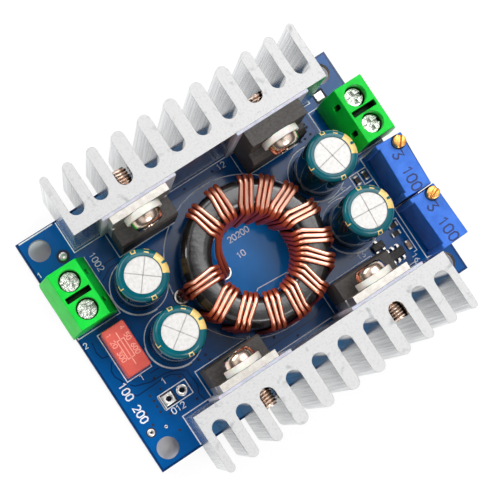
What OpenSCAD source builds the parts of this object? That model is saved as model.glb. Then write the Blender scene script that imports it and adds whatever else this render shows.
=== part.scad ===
// Buck-boost converter module: a circuit board that carries two finned heatsinks with four power
// packages, a ring inductor, four capacitors, two screw terminals, two trimmers, a fuse and chips.
// The origin is the centre of the four mounting holes on the board's underside, +X runs from the
// input terminal to the output terminal and +Z is up.

/* [Circuit board] */
// Thickness of the laminate
board_t = 1.6; // [1:0.1:2.4]
// Diameter of each mounting hole
mount_hole_d = 3.6; // [3.2:0.1:4]
// Distance of each mounting hole's centre from the two edges beside it
mount_inset = 2.8; // [2.6:0.1:3.2]
// Hole pitch of the empty two-way header
header_pitch = 2.54; // [2:0.02:3.5]
// Diameter of each hole of the empty header
header_hole_d = 0.9; // [0.7:0.05:1.2]

/* [Leads and solder] */
// Length of every lead below the board's underside
lead_below = 1.5; // [1:0.1:2.5]
// Height of each solder fillet below the underside
solder_h = 0.9; // [0.4:0.1:1]
// Width of each solder fillet past its lead at the board
solder_spread = 0.7; // [0.5:0.05:0.9]
// Clearance between a lead and its hole, on each side
lead_gap = 0.15; // [0.1:0.01:0.25]

/* [Heatsinks] */
// Thickness of the last fin at each end
end_fin_t = 1.3; // [1:0.1:3]
// Depth from the flat face to the fin tips
sink_depth = 9.9; // [8:0.1:14]
// Height of each heatsink above its package screws
sink_over_screw = 2.75; // [2.2:0.05:8]
// Thickness of the flat back behind the slots
sink_base = 2.2; // [1.8:0.1:3.5]
// Width of each slot between two fins
slot_w = 2.5; // [2:0.1:2.8]
// Distance between neighbouring slots in the middle
slot_pitch = 4.68; // [4.4:0.02:4.7]
// Distance between the last two slots at each end
end_slot_pitch = 4.25; // [4:0.05:4.4]
// Distance of the rear heatsink's flat face from the board's rear edge
rear_sink_inset = 5.8; // [4.5:0.1:8]
// Distance of the front heatsink's flat face from the board's front edge
front_sink_inset = 5.2; // [4.5:0.1:8]
// Gap between the inductor and the rear packages
rear_package_gap = 0.73; // [0.05:0.01:2]
// Gap between the inductor and the front packages
front_package_gap = 0.05; // [0.05:0.01:2]

/* [Power packages] */
// Width of each package
package_w = 10; // [9.6:0.1:10.4]
// Thickness of each package over its tab
package_t = 4.5; // [4.3:0.1:4.6]
// Thickness of the metal tab
tab_t = 1.25; // [1:0.05:1.4]
// Height of the moulded body
mould_h = 9.1; // [8.6:0.1:9.4]
// Gap between the bush's flange and the moulded body
bush_mould_gap = 0.55; // [0.2:0.05:1.5]
// Distance of the tab's hole from its top
tab_hole_drop = 2.75; // [2.5:0.05:3]
// Diameter of the tab's hole
tab_hole_d = 3.7; // [3.6:0.05:3.9]
// Height of the moulded body above the board
package_lift = 3; // [2:0.1:3.5]
// Distance between the two packages on a heatsink
package_spacing = 24.1; // [23.6:0.1:24.4]
// Thickness of the upper half of the all-plastic package
plastic_upper_t = 2.7; // [2.4:0.05:3]
// Distance between neighbouring legs
leg_pitch = 2.54; // [2.4:0.02:2.6]
// Width of a leg
leg_w = 0.8; // [0.6:0.05:1]
// Thickness of a leg
leg_t = 0.5; // [0.4:0.05:0.7]

/* [Package fixing] */
// Width of each thermal pad
pad_w = 13; // [11:0.5:14]
// Gap between each thermal pad and the board
pad_floor_gap = 0.5; // [0.1:0.1:2]
// Thickness of each thermal pad
pad_t = 0.5; // [0.3:0.05:0.6]
// Diameter of the bush's flange
bush_flange_d = 6.2; // [5.8:0.1:6.8]
// Thickness of the bush's flange
bush_flange_t = 1.1; // [0.8:0.1:1.4]
// Diameter of the package screw
screw_d = 3; // [2.8:0.05:3.1]
// Length of the package screw under its head
screw_l = 8; // [6:0.5:9]
// Diameter of the package screw's head
screw_head_d = 5.5; // [5:0.1:6]
// Height of the package screw's head
screw_head_h = 2; // [1.6:0.1:2.2]

/* [Capacitors] */
// Diameter of each capacitor over its sleeve
cap_d = 8.2; // [6.3:0.1:9]
// Height of each capacitor
cap_h = 16; // [10:0.5:20]
// Thickness of the sleeve
sleeve_t = 0.18; // [0.1:0.01:0.3]
// Diameter of the bare top inside the sleeve's rim
cap_top_d = 5.7; // [4:0.1:6]
// Distance between a capacitor's two legs
cap_leg_pitch = 3.5; // [2.5:0.1:4]
// Diameter of a capacitor's leg
cap_leg_d = 0.6; // [0.5:0.05:0.8]
// Gap between the two capacitors of a pair
cap_pair_gap = 1.95; // [1.6:0.05:3]
// Gap between the inductor and the input pair
cap_in_gap = 1.1; // [0.6:0.05:3]
// Gap between the inductor and the output pair
cap_out_gap = 0.93; // [0.6:0.01:3]

/* [Inductor] */
// Outer diameter of the coated core
core_od = 23.6; // [21:0.1:23.8]
// Inner diameter of the coated core
core_id = 13.8; // [13.4:0.1:14.6]
// Height of the coated core
core_h = 9; // [6:0.1:12]
// Radius of the core's edges
core_edge_r = 0.8; // [0.5:0.1:1.5]
// Diameter of one enamelled strand
wire_d = 0.75; // [0.5:0.01:0.76]
// Number of turns
turns = 14; // [6:1:14]
// Angle from the first turn to the last
winding_span = 300; // [298:1:306]
// Distance between neighbouring strands on the outer wall
strand_spread = 1.02; // [0.9:0.01:1.1]

/* [Screw terminals] */
// Thickness of a terminal's end walls
term_wall = 0.55; // [0.4:0.05:1.2]
// Depth of a terminal at the board
term_depth = 8.2; // [7.6:0.1:8.4]
// Depth of a terminal's flat top
term_top = 5.1; // [4.6:0.1:5.6]
// Height of a terminal
term_h = 10; // [9.8:0.1:11]
// Height at which a terminal's slopes begin
term_shoulder = 4.8; // [4.2:0.1:5.6]
// Distance between the two poles
pole_pitch = 5; // [4.9:0.02:5.2]
// Diameter of each screw well
well_d = 3.5; // [3.4:0.05:3.7]
// Diameter of a clamp screw's head
clamp_head_d = 3.1; // [2.8:0.05:3.2]
// Diameter of a clamp screw's shank
clamp_shank_d = 2.4; // [2:0.05:2.5]
// Width of a wire cage
cage_w = 3.7; // [3.5:0.05:3.8]
// Depth of a wire cage
cage_depth = 3.4; // [3:0.05:3.6]
// Height that a cage rises when its screw is tightened
cage_travel = 1.8; // [1.4:0.1:1.9]
// Distance of the input terminal's screws from the board's left edge
term_in_inset = 3.7; // [3.2:0.1:6]
// Distance of the output terminal's screws from the board's right edge
term_out_inset = 2.5; // [2.2:0.1:6]
// Gap between the input terminal and the capacitors
term_in_gap = 1.15; // [0.5:0.05:3]
// Gap between the output terminal and the capacitors
term_out_gap = 1.8; // [0.5:0.05:3]

/* [Trimmers] */
// Length of a trimmer along Y
trim_l = 9.5; // [9.2:0.1:9.6]
// Width of a trimmer along X
trim_w = 4.8; // [4.4:0.1:5]
// Height of a trimmer's body
trim_h = 10.3; // [9:0.1:12]
// Diameter of an adjusting screw
trim_screw_d = 2.1; // [1.8:0.05:2.3]
// Height of an adjusting screw above the body
trim_screw_out = 1.3; // [0.8:0.1:1.8]
// Angle by which trimmer 1 stands askew
trim_1_skew = -2.8; // [-3:0.1:0]
// Angle by which trimmer 2 stands askew
trim_2_skew = 1.7; // [0:0.1:2]

/* [Fuse] */
// Length of the fuse along Y
fuse_l = 8.2; // [7.6:0.1:8.6]
// Width of the fuse along X
fuse_w = 4.1; // [3.6:0.1:4.4]
// Height of the fuse
fuse_h = 8; // [6:0.1:9]

/* [Chips] */
// Length of a chip
chip_l = 1.6; // [1.4:0.05:1.8]
// Width of a chip
chip_w = 0.8; // [0.7:0.05:0.9]
// Height of a chip
chip_h = 0.6; // [0.4:0.05:0.8]
// Length of the six-leg controller's body
controller_l = 2.9; // [2.7:0.05:3]
// Length of the small transistor's body
transistor_l = 2; // [1.9:0.05:2.1]

/* [Hidden] */
$fn = 48;
corners = ["rear_left", "rear_right", "front_left", "front_right"];
sides = ["input", "output"];
eps = 0.01;
cut = 1;

// Colours, as the photograph shows them
board_blue = "#15458A";
solder_grey = "#C9CBCF";
alloy = "#E8E9EA";
mould_black = "#4A4846";
tin = "#D9D6D0";
bush_white = "#F0EAE2";
pad_lilac = "#D8D6E6";
screw_nickel = "#D9B79A";
sleeve_teal = "#0E5F63";
can_white = "#F1F0EE";
core_black = "#2B2A29";
copper = "#D2694A";
terminal_green = "#22B833";
zinc = "#D4D8D6";
trimmer_blue = "#5C86E0";
brass = "#E9B25E";
fuse_red = "#E8604F";
chip_grey = "#6E6A66";

// The inductor's reach, then the board laid out from it to the nearest place step: the packages stand
// clear of the coil and the capacitors, the capacitors of the coil, the terminals of the capacitors
wire_gap = 0.04;
coil_r = core_od / 2 + wire_gap + wire_d;
cap_spacing = cap_d + cap_pair_gap;
cap_lead_in = 1.1;
cap_lead_out = 0.8;
cap_package_gap = 1;
sink_shift = -0.15;
package_corner = package_spacing / 2 - package_w / 2 + sink_shift;
place_step = 0.05;
function beside(reach, offset) = ceil(sqrt(reach * reach - offset * offset) / place_step) * place_step;
cap_reach_in = beside(coil_r + cap_in_gap + cap_d / 2, cap_spacing / 2 - cap_lead_in);
cap_reach_out = beside(coil_r + cap_out_gap + cap_d / 2, cap_spacing / 2 - cap_lead_out);
term_reach_in = cap_reach_in + cap_d / 2 + term_in_gap + term_depth / 2;
term_reach_out = cap_reach_out + cap_d / 2 + term_out_gap + term_depth / 2;
cap_end = cap_spacing / 2 + cap_d / 2 + cap_package_gap;
package_stack = package_t + pad_t;
rear_bay = max(beside(coil_r + rear_package_gap, package_corner), cap_end + cap_lead_in);
front_bay = max(beside(coil_r + front_package_gap, package_corner), cap_end - cap_lead_out);
rear_reach = rear_bay + package_stack;
front_reach = front_bay + package_stack;

// Board size and the inductor's place on it
board_l = term_in_inset + term_reach_in + term_reach_out + term_out_inset;
board_w = front_sink_inset + front_reach + rear_reach + rear_sink_inset;
coil_x = -board_l / 2 + term_in_inset + term_reach_in;
coil_y = -board_w / 2 + front_sink_inset + front_reach;

// Places of the packages
rear_face = coil_y + rear_reach;
front_face = front_reach - coil_y;
sink_x = coil_x + sink_shift;
tab_h = bush_flange_d / 2 + bush_mould_gap + tab_hole_drop;
package_h = mould_h + tab_h;
screw_z = board_t + package_lift + package_h - tab_hole_drop;
sink_h = screw_z + sink_over_screw - board_t;
pad_h = package_lift + package_h - pad_floor_gap;
leg_depth = 2.6;
shoulder_w = 1.3;
shoulder_h = 1.2;
package_clearance = 0.05;
function package_x(c) = sink_x + (c % 2 == 0 ? -1 : 1) * package_spacing / 2;
function is_rear(c) = c < 2;
function is_plastic(c) = c == 1;
function stack_t(c) = is_plastic(c) ? plastic_upper_t : tab_t;
// How far a package screw reaches past the heatsink's flat face
function screw_reach(c) = screw_l - pad_t - stack_t(c) - bush_flange_t;

// Slots of a heatsink, five on each side of its middle
slots_half = 5;
wide_slots = 3;
function slot_offset(i) = i < wide_slots
    ? (i + 0.5) * slot_pitch
    : (wide_slots - 0.5) * slot_pitch + (i - wide_slots + 1) * end_slot_pitch;
sink_l = 2 * (slot_offset(slots_half - 1) + slot_w / 2 + end_fin_t);

// Places of the capacitors
cap_edge_r = 0.9;
vent_turn = [51, 35, 11, 85];
function cap_pos(i) = i < 2
    ? [coil_x - cap_reach_in, coil_y + cap_lead_in + (0.5 - i) * cap_spacing]
    : [coil_x + cap_reach_out, coil_y + cap_lead_out + (2.5 - i) * cap_spacing];

// Ring inductor: where its wires run
coil_floor_gap = 0.1;
core_z = board_t + coil_floor_gap + wire_d + wire_gap;
wire_off = wire_gap + wire_d / 2;
wire_r_in = core_id / 2 - wire_off;
wire_r_out = core_od / 2 + wire_off;
wire_z_low = core_z - wire_off;
wire_z_high = core_z + core_h + wire_off;
wire_bend = core_edge_r + wire_off;
first_turn = 116;
turn_pitch = winding_span / (turns - 1);
strand_gap = 0.05;
first_gap = 0.21;
bundle_gap = 0.3;
strand_step = wire_d + strand_gap;
first_step = wire_d + first_gap;
bundle_step = wire_d + bundle_gap;
strands = 3;
bundle_turn = 360 / strands;
bundle_r = bundle_step / sqrt(strands);
wall_lean = 0.3 * turn_pitch;
lead_rise = 1.2;
start_mid_turn = 32;
start_mid_slant = 40;
coil_hole_d = 2 * (bundle_r + wire_d / 2 + lead_gap);
start_hole_r = 4.75;
start_hole_angle = 175;
end_hole_gap = 0.4;
end_hole_r = wire_r_out + end_hole_gap;
end_hole_angle = first_turn - winding_span;
wire_sides = 6;

// Screw terminals, from the board's top face
cage_wall = 0.55;
cage_floor = 0.6;
cage_roof = 1;
cage_clear = 0.1;
bar_t = 0.5;
bar_w = 2.3;
term_pin_w = 1;
cage_low = 0.4;
lift_clear = 0.2;
wire_space = cage_travel + lift_clear;
bar_z = cage_low + cage_floor + wire_space;
bar_top = bar_z + bar_t;
cage_h = bar_top + cage_clear + cage_roof - cage_low;
clamp_head_z = bar_top + cage_clear + cage_roof + cage_travel + cage_clear;
clamp_head_h = 1.7;
cage_room_h = clamp_head_z - cage_clear / 2;
thread_clear = 0.05;
pin_u = -(cage_depth / 2 + cage_clear + bar_t / 2);
bar_lip = 0.4;
bar_front = cage_depth / 2 + bar_lip;
entry_w = 3;
entry_h = 2.6;
pole_slot_l = 4.3;
pole_slot_w = 0.95;
pole_slot_depth = 3;
window_l = 2.2;
window_w = 0.85;
window_depth = 1.1;
// How far up the slope each window sits, as a share of it
window_share = 0.6;
term_l = pole_pitch + cage_w + 2 * cage_clear + 2 * term_wall;
term_in_shift = 9.4;
term_out_shift = 9.8;
term_y = [coil_y + term_in_shift, coil_y + term_out_shift];
term_x = [coil_x - term_reach_in, coil_x + term_reach_out];

// Trimmers
trim_lug = 0.36;
trim_lug_l = 0.8;
trim_foot_h = 0.4;
trim_screw_clear = 0.05;
trim_bore_depth = 1.8;
trim_screw_inset = 1.25;
trim_leg_d = 0.5;
trim_edge = [2.35, 2.15];
trim_term_gap = 1.15;
trim_gap = 0.3;
trim_y = term_y[1] - term_l / 2 - trim_term_gap - trim_l / 2;
trim_pos = [for (i = [0:1]) [board_l / 2 - trim_edge[i], trim_y - i * (trim_l + trim_gap)]];
trim_skew = [trim_1_skew, trim_2_skew];

// Fuse and header
fuse_term_gap = 1.7;
fuse_edge = 5.4;
fuse_pos = [-board_l / 2 + fuse_edge, term_y[0] - term_l / 2 - fuse_term_gap - fuse_l / 2];
fuse_leg_pitch = 5.08;
fuse_leg_d = 0.6;
fuse_edge_r = 0.35;
header_edge = 8.4;
header_front = 9.2;
header_pos = [-board_l / 2 + header_edge, -board_w / 2 + header_front];

// Chips: distance from the side of the last capacitor, place along Y from its middle and turn of each
chip_gap = [0.9, 2.5, 2.1, 1.4, 1.7];
chip_shift = [5.425, 5.475, -7.975, -5.325, -3.925];
chip_turn = [90, 90, 90, 0, 0];
chip_places = [
    for (i = [0:4])
        [cap_pos(3).x + cap_d / 2 + chip_gap[i], cap_pos(3).y + chip_shift[i], chip_turn[i]]
];
chip_end_l = 0.3;
controller_w = 1.6;
transistor_w = 1.3;
small_body_h = 1.1;
small_lift = 0.1;
controller_leg_reach = 0.65;
transistor_leg_reach = 0.42;
small_leg_w = 0.4;
small_leg_t = 0.15;
controller_leg_pitch = 0.95;
transistor_leg_pitch = 0.65;
small_gap = 1.375;
small_shift = 1.7;
small_transistor_pos = cap_pos(3) + [small_shift, -cap_d / 2 - small_gap];
controller_shift = 1.8;
controller_drop = 2.65;
controller_pos = small_transistor_pos + [controller_shift, -controller_drop];

// Every lead that passes through the board: place, then the diameter of its hole
function polar(r, a) = [coil_x + r * cos(a), coil_y + r * sin(a)];
function turned(p, a) = [p.x * cos(a) - p.y * sin(a), p.x * sin(a) + p.y * cos(a)];
function leg_y(c) = is_rear(c) ? rear_face - pad_t - leg_depth : -front_face + pad_t + leg_depth;
leg_hole_d = sqrt(leg_w * leg_w + leg_t * leg_t) + 2 * lead_gap;
pin_hole_d = sqrt(term_pin_w * term_pin_w + bar_t * bar_t) + 2 * lead_gap;
package_leads = [for (c = [0:3], i = [-1:1]) [package_x(c) + i * leg_pitch, leg_y(c)]];
cap_leads = [for (i = [0:3], s = [-1, 1]) [cap_pos(i).x + s * cap_leg_pitch / 2, cap_pos(i).y]];
fuse_leads = [for (s = [-1, 1]) [fuse_pos.x, fuse_pos.y + s * fuse_leg_pitch / 2]];
trim_leads = [for (i = [0:1], s = [-1:1]) trim_pos[i] + turned([0, s * leg_pitch], trim_skew[i])];
term_leads = [
    for (k = [0:1], s = [-1, 1])
        [term_x[k] + (k == 0 ? -1 : 1) * pin_u, term_y[k] + s * pole_pitch / 2]
];
coil_leads = [polar(start_hole_r, start_hole_angle), polar(end_hole_r, end_hole_angle)];
header_holes = [for (s = [-1, 1]) header_pos + [s * header_pitch / 2, 0]];

// A round hole through the board
module board_hole(p, d) {
    translate([p.x, p.y, -cut])
        cylinder(d = d, h = board_t + 2 * cut);
}

module circuit_board() {
    color(board_blue)
    difference() {
        translate([-board_l / 2, -board_w / 2, 0])
            cube([board_l, board_w, board_t]);
        for (sx = [-1, 1], sy = [-1, 1])
            board_hole([sx * (board_l / 2 - mount_inset), sy * (board_w / 2 - mount_inset)], mount_hole_d);
        for (p = package_leads) board_hole(p, leg_hole_d);
        for (p = cap_leads) board_hole(p, cap_leg_d + 2 * lead_gap);
        for (p = fuse_leads) board_hole(p, fuse_leg_d + 2 * lead_gap);
        for (p = trim_leads) board_hole(p, trim_leg_d + 2 * lead_gap);
        for (p = term_leads) board_hole(p, pin_hole_d);
        for (p = coil_leads) board_hole(p, coil_hole_d);
        for (p = header_holes) board_hole(p, header_hole_d);
    }
}

// A solder fillet under the board, round the hole of one lead, with that lead's section cut out
module fillet(p, hole_d) {
    tip_d = 0.35;
    difference() {
        translate([p.x, p.y, -solder_h])
            cylinder(d1 = hole_d + tip_d, d2 = hole_d + solder_spread, h = solder_h);
        translate([p.x, p.y, -solder_h - cut])
            linear_extrude(solder_h + 2 * cut) children();
    }
}

module solder_joints() {
    color(solder_grey) {
        for (p = package_leads) fillet(p, leg_hole_d) square([leg_w, leg_t], center = true);
        for (p = cap_leads) fillet(p, cap_leg_d) circle(d = cap_leg_d);
        for (p = fuse_leads) fillet(p, fuse_leg_d) circle(d = fuse_leg_d);
        for (p = trim_leads) fillet(p, trim_leg_d) circle(d = trim_leg_d);
        for (p = term_leads) fillet(p, pin_hole_d) square([bar_t, term_pin_w], center = true);
        for (k = [0:1]) fillet(coil_leads[k], coil_hole_d)
            for (s = [-1:1]) translate(bundle_offset(s, coil_angle(k))) circle(d = wire_d);
    }
}

// Section of the heatsink's extrusion: a flat back, fins with round tips and slots with round ends
module sink_profile() {
    edges = concat(
        [-sink_l / 2],
        [for (i = [slots_half - 1:-1:0], e = [-1, 1]) -slot_offset(i) + e * slot_w / 2],
        [for (i = [0:slots_half - 1], e = [-1, 1]) slot_offset(i) + e * slot_w / 2],
        [sink_l / 2]
    );
    slot_root = sink_base + slot_w / 2;
    difference() {
        translate([-sink_l / 2, 0]) square([sink_l, slot_root]);
        for (i = [0:slots_half - 1], s = [-1, 1])
            translate([s * slot_offset(i), slot_root]) circle(d = slot_w);
    }
    for (f = [0:2:len(edges) - 2]) {
        fin_w = edges[f + 1] - edges[f];
        translate([edges[f], slot_root - eps]) square([fin_w, sink_depth - fin_w / 2 - slot_root + eps]);
        translate([edges[f] + fin_w / 2, sink_depth - fin_w / 2]) circle(d = fin_w);
    }
}

// Local frame of a heatsink's face: y grows away from the face, towards the board's middle
module from_face(rear) {
    translate([0, rear ? rear_face : -front_face, 0])
        mirror([0, rear ? 1 : 0, 0]) children();
}

// A drilled heatsink: each screw hole is tapped through the back and runs out into a slot
module heatsink(rear) {
    tapped_d = screw_d + 2 * package_clearance;
    color(alloy)
    from_face(rear)
    difference() {
        translate([sink_x, 0, board_t])
            mirror([0, 1, 0]) linear_extrude(sink_h) sink_profile();
        for (c = rear ? [0, 1] : [2, 3])
            translate([package_x(c), cut, screw_z])
                rotate([90, 0, 0]) cylinder(d = tapped_d, h = cut + screw_reach(c) + package_clearance);
    }
}

module thermal_pad(c) {
    pad_shift = 0.5;
    hole_d = screw_d + 0.4;
    color(pad_lilac)
    from_face(is_rear(c))
    difference() {
        translate([package_x(c) + pad_shift - pad_w / 2, 0, board_t + pad_floor_gap])
            cube([pad_w, pad_t, pad_h]);
        translate([package_x(c), pad_t + cut, screw_z])
            rotate([90, 0, 0]) cylinder(d = hole_d, h = pad_t + 2 * cut);
    }
}

// Local frame of a package: on the pad, at the moulded body's underside
module at_package(c) {
    from_face(is_rear(c))
        translate([package_x(c), pad_t, board_t + package_lift]) children();
}

// A hole across a package at the height of its screw
module package_hole(d, depth) {
    translate([0, depth + cut, package_h - tab_hole_drop])
        rotate([90, 0, 0]) cylinder(d = d, h = depth + 2 * cut);
}

// Solid with a section in y and z, spread along x
module across(w) {
    rotate([90, 0, 90])
        translate([0, 0, -w / 2]) linear_extrude(w) children();
}

// Moulded body in front of the metal tab, with a sloped top and a sloped foot
module tab_package_body() {
    slope = 0.5;
    draft = 0.35;
    dimple_d = 1.6;
    dimple_depth = 0.15;
    difference() {
        across(package_w)
            polygon([
                [tab_t, 0], [package_t - draft, 0], [package_t, slope],
                [package_t, mould_h - slope], [package_t - draft, mould_h], [tab_t, mould_h]
            ]);
        translate([0, package_t + cut, mould_h / 2])
            rotate([90, 0, 0]) cylinder(d = dimple_d, h = cut + dimple_depth);
    }
}

// All-plastic body: thick below, thin where the screw clamps it
module plastic_package_body() {
    slope = 0.8;
    difference() {
        across(package_w)
            polygon([
                [0, 0], [package_t, 0], [package_t, mould_h - slope], [package_t - slope, mould_h],
                [plastic_upper_t, mould_h], [plastic_upper_t, package_h], [0, package_h]
            ]);
        package_hole(tab_hole_d, plastic_upper_t);
    }
}

module package_body(c) {
    color(mould_black)
    at_package(c)
        if (is_plastic(c)) plastic_package_body();
        else tab_package_body();
}

// Three legs: a wide shoulder under the body, then a narrow leg through the board
module package_legs() {
    leg_l = package_lift + board_t + lead_below;
    for (i = [-1:1]) translate([i * leg_pitch, leg_depth, 0]) {
        translate([-shoulder_w / 2, -leg_t / 2, -shoulder_h]) cube([shoulder_w, leg_t, shoulder_h]);
        translate([-leg_w / 2, -leg_t / 2, -leg_l]) cube([leg_w, leg_t, leg_l]);
    }
}

// Metal tab behind the body, notched at its waist, with the screw hole near its top
module package_tab() {
    notch = 0.5;
    notch_h = 1.2;
    difference() {
        translate([-package_w / 2, 0, 0]) cube([package_w, tab_t, package_h]);
        for (s = [-1, 1])
            translate([s * package_w / 2 - notch, -cut, mould_h])
                cube([2 * notch, tab_t + 2 * cut, notch_h]);
        package_hole(tab_hole_d, tab_t);
    }
}

module package_metal(c) {
    color(tin)
    at_package(c) {
        package_legs();
        if (!is_plastic(c)) package_tab();
    }
}

// Flanged bush: its collar fills the package's hole and its flange lies under the screw head
module insulating_bushes() {
    collar_d = tab_hole_d - 2 * package_clearance;
    bore_d = screw_d + 2 * package_clearance;
    color(bush_white)
    for (c = [0:3]) at_package(c) translate([0, stack_t(c), package_h - tab_hole_drop]) rotate([-90, 0, 0])
        difference() {
            union() {
                cylinder(d = bush_flange_d, h = bush_flange_t);
                translate([0, 0, -tab_t]) cylinder(d = collar_d, h = tab_t + eps);
            }
            translate([0, 0, -tab_t - cut]) cylinder(d = bore_d, h = tab_t + bush_flange_t + 2 * cut);
        }
}

// Pan-head screw, its head on the bush and its end in a slot of the heatsink
module package_screws() {
    dome_r = screw_head_h / 2;
    recess_w = 0.8;
    recess_l = 3.2;
    recess_depth = 1;
    color(screw_nickel)
    for (c = [0:3]) at_package(c)
        translate([0, stack_t(c) + bush_flange_t, package_h - tab_hole_drop]) rotate([-90, 0, 0])
        difference() {
            union() {
                rotate_extrude() {
                    square([screw_head_d / 2 - dome_r, screw_head_h]);
                    square([screw_head_d / 2, screw_head_h - dome_r]);
                    translate([screw_head_d / 2 - dome_r, screw_head_h - dome_r]) circle(dome_r);
                }
                translate([0, 0, -screw_l]) cylinder(d = screw_d, h = screw_l + eps);
            }
            for (a = [0, 90]) rotate(a)
                translate([-recess_l / 2, -recess_w / 2, screw_head_h - recess_depth])
                    cube([recess_l, recess_w, recess_depth + cut]);
        }
}

// Half section of a round can with a rounded top edge
module can_section(r, h, edge) {
    square([r, h - edge]);
    square([r - edge, h]);
    translate([r - edge, h - edge]) circle(edge);
}

// Aluminium can with its crimp groove near the foot and the vent score across its top
module capacitor_can(i) {
    can_r = cap_d / 2 - sleeve_t;
    groove_z = 2;
    groove_r = 0.4;
    score_w = 0.16;
    score_depth = 0.12;
    color(can_white)
    translate([cap_pos(i).x, cap_pos(i).y, board_t])
    difference() {
        rotate_extrude()
            difference() {
                can_section(can_r, cap_h - sleeve_t, cap_edge_r - sleeve_t);
                translate([can_r + groove_r / 2, groove_z]) circle(groove_r);
            }
        for (a = [0, 90]) rotate(vent_turn[i] + a)
            translate([-cap_top_d / 2, -score_w / 2, cap_h - sleeve_t - score_depth])
                cube([cap_top_d, score_w, score_depth + cut]);
    }
}

// Shrunk sleeve: round the can's wall and curled over the edge of its top
module capacitor_sleeve(i) {
    color(sleeve_teal)
    translate([cap_pos(i).x, cap_pos(i).y, board_t])
    rotate_extrude()
        difference() {
            can_section(cap_d / 2, cap_h, cap_edge_r);
            can_section(cap_d / 2 - sleeve_t, cap_h - sleeve_t, cap_edge_r - sleeve_t);
            square([cap_top_d / 2, cap_h + cut]);
        }
}

// Round lead from a height above the board's underside down to its trimmed end
module round_lead(p, d, from) {
    translate([p.x, p.y, -lead_below])
        cylinder(d = d, h = lead_below + from);
}

module capacitor_leads() {
    color(tin) for (p = cap_leads) round_lead(p, cap_leg_d, board_t);
}

module inductor_core() {
    color(core_black)
    translate([coil_x, coil_y, core_z])
    rotate_extrude($fn = 96) {
        wall = (core_od - core_id) / 2;
        translate([core_id / 2, core_edge_r]) square([wall, core_h - 2 * core_edge_r]);
        translate([core_id / 2 + core_edge_r, 0]) square([wall - 2 * core_edge_r, core_h]);
        for (r = [core_id / 2 + core_edge_r, core_od / 2 - core_edge_r])
            for (z = [core_edge_r, core_h - core_edge_r])
                translate([r, z]) circle(core_edge_r);
    }
}

// Route of one strand: r, angle and z are turned into a point
function at(r, a, z) = [coil_x + r * cos(a), coil_y + r * sin(a), z];
function coil_angle(k) = k == 0 ? start_hole_angle : end_hole_angle;
function turn_angle(k) = first_turn - k * turn_pitch;
function inner_step(k) = k == 0 ? first_step : strand_step;
function inner_angle(k, s) = turn_angle(k) - s * inner_step(k) / wire_r_in * 180 / PI;
function outer_angle(k, s) = turn_angle(k) - s * strand_spread / wire_r_out * 180 / PI;
// The three strands meet in a triangle where they pass through the board
function bundle_offset(s, a) = turned([bundle_r, 0], a - s * bundle_turn);
// Quarter bend of the route at one corner of the core's section
function bend(a, r, z, from) = [
    for (i = [0:2])
        let (b = from[0] + i * from[1])
        at(r + wire_bend * cos(b), a, z + wire_bend * sin(b))
];
function over(k, s) = concat(
    bend(inner_angle(k, s), wire_r_in + wire_bend, wire_z_high - wire_bend, [180, -45]),
    bend(outer_angle(k, s), wire_r_out - wire_bend, wire_z_high - wire_bend, [90, -45])
);
function under(k, s) = k == turns - 1 ? [] : concat(
    bend(outer_angle(k, s) - wall_lean, wire_r_out - wire_bend, wire_z_low + wire_bend, [0, -45]),
    bend(inner_angle(k + 1, s) + wall_lean, wire_r_in + wire_bend, wire_z_low + wire_bend, [270, -45])
);
function lead_point(k, s, z) = let (p = coil_leads[k] + bundle_offset(s, coil_angle(k))) [p.x, p.y, z];
function start_mid(s) = let (r = (start_hole_r + wire_r_in) / 2) at(
    r,
    first_turn + start_mid_turn - s * bundle_step * cos(start_mid_slant) / r * 180 / PI,
    core_z + core_h / 2 - s * bundle_step * sin(start_mid_slant)
);
function route(s) = concat(
    [lead_point(0, s, -lead_below), lead_point(0, s, board_t + lead_rise), start_mid(s)],
    [for (k = [0:turns - 1]) each concat(over(k, s), under(k, s))],
    [at(wire_r_out, outer_angle(turns - 1, s), core_z + core_h / 3)],
    [lead_point(1, s, board_t + lead_rise), lead_point(1, s, -lead_below)]
);

// Ring of points round a route, square to it and level with the turn of the coil
function unit(v) = v / norm(v);
function heading(path, i) = unit(path[min(i + 1, len(path) - 1)] - path[max(i - 1, 0)]);
function ring(p, t) = let (
    around = unit([-(p.y - coil_y), p.x - coil_x, 0]),
    side = unit(around - (around * t) * t),
    up = cross(t, side)
) [
    for (i = [0:wire_sides - 1])
        let (b = 360 * i / wire_sides)
        p + wire_d / 2 * (cos(b) * side + sin(b) * up)
];

// Round wire swept along a route
module wire(path) {
    n = wire_sides;
    last = len(path) - 1;
    points = [for (i = [0:last]) each ring(path[i], heading(path, i))];
    sides = [
        for (i = [0:last - 1], j = [0:n - 1])
            let (a = i * n + j, b = i * n + (j + 1) % n)
            each [[a, b, b + n], [a, b + n, a + n]]
    ];
    ends = concat(
        [for (j = [1:n - 2]) [0, j + 1, j]],
        [for (j = [1:n - 2]) [last * n, last * n + j, last * n + j + 1]]
    );
    polyhedron(points, concat(sides, ends));
}

module winding_strand(i) {
    color(copper) wire(route(i - 2));
}

// Local frame of a terminal: +X points out of the board, z starts at the board's top
module at_terminal(k) {
    translate([term_x[k], term_y[k], board_t])
        mirror([k == 0 ? 1 : 0, 0, 0]) children();
}

module at_pole(k, i) {
    at_terminal(k)
        translate([0, (i - 1.5) * pole_pitch, 0]) children();
}

// Room inside one pole: the screw well, the cage's shaft, the bar's channel and the wire entry
module pole_room() {
    cylinder(d = well_d, h = term_h + cut);
    translate([-cage_depth / 2 - cage_clear, -cage_w / 2 - cage_clear, -cut])
        cube([cage_depth / 2 + cage_clear + bar_front, cage_w + 2 * cage_clear, cage_room_h + cut]);
    translate([pin_u - bar_t / 2, -bar_w / 2, -cut])
        cube([bar_t + cage_clear + eps, bar_w, bar_top + cut]);
    translate([0, -entry_w / 2, cage_low + cage_floor / 2])
        cube([term_depth, entry_w, entry_h]);
}

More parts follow.
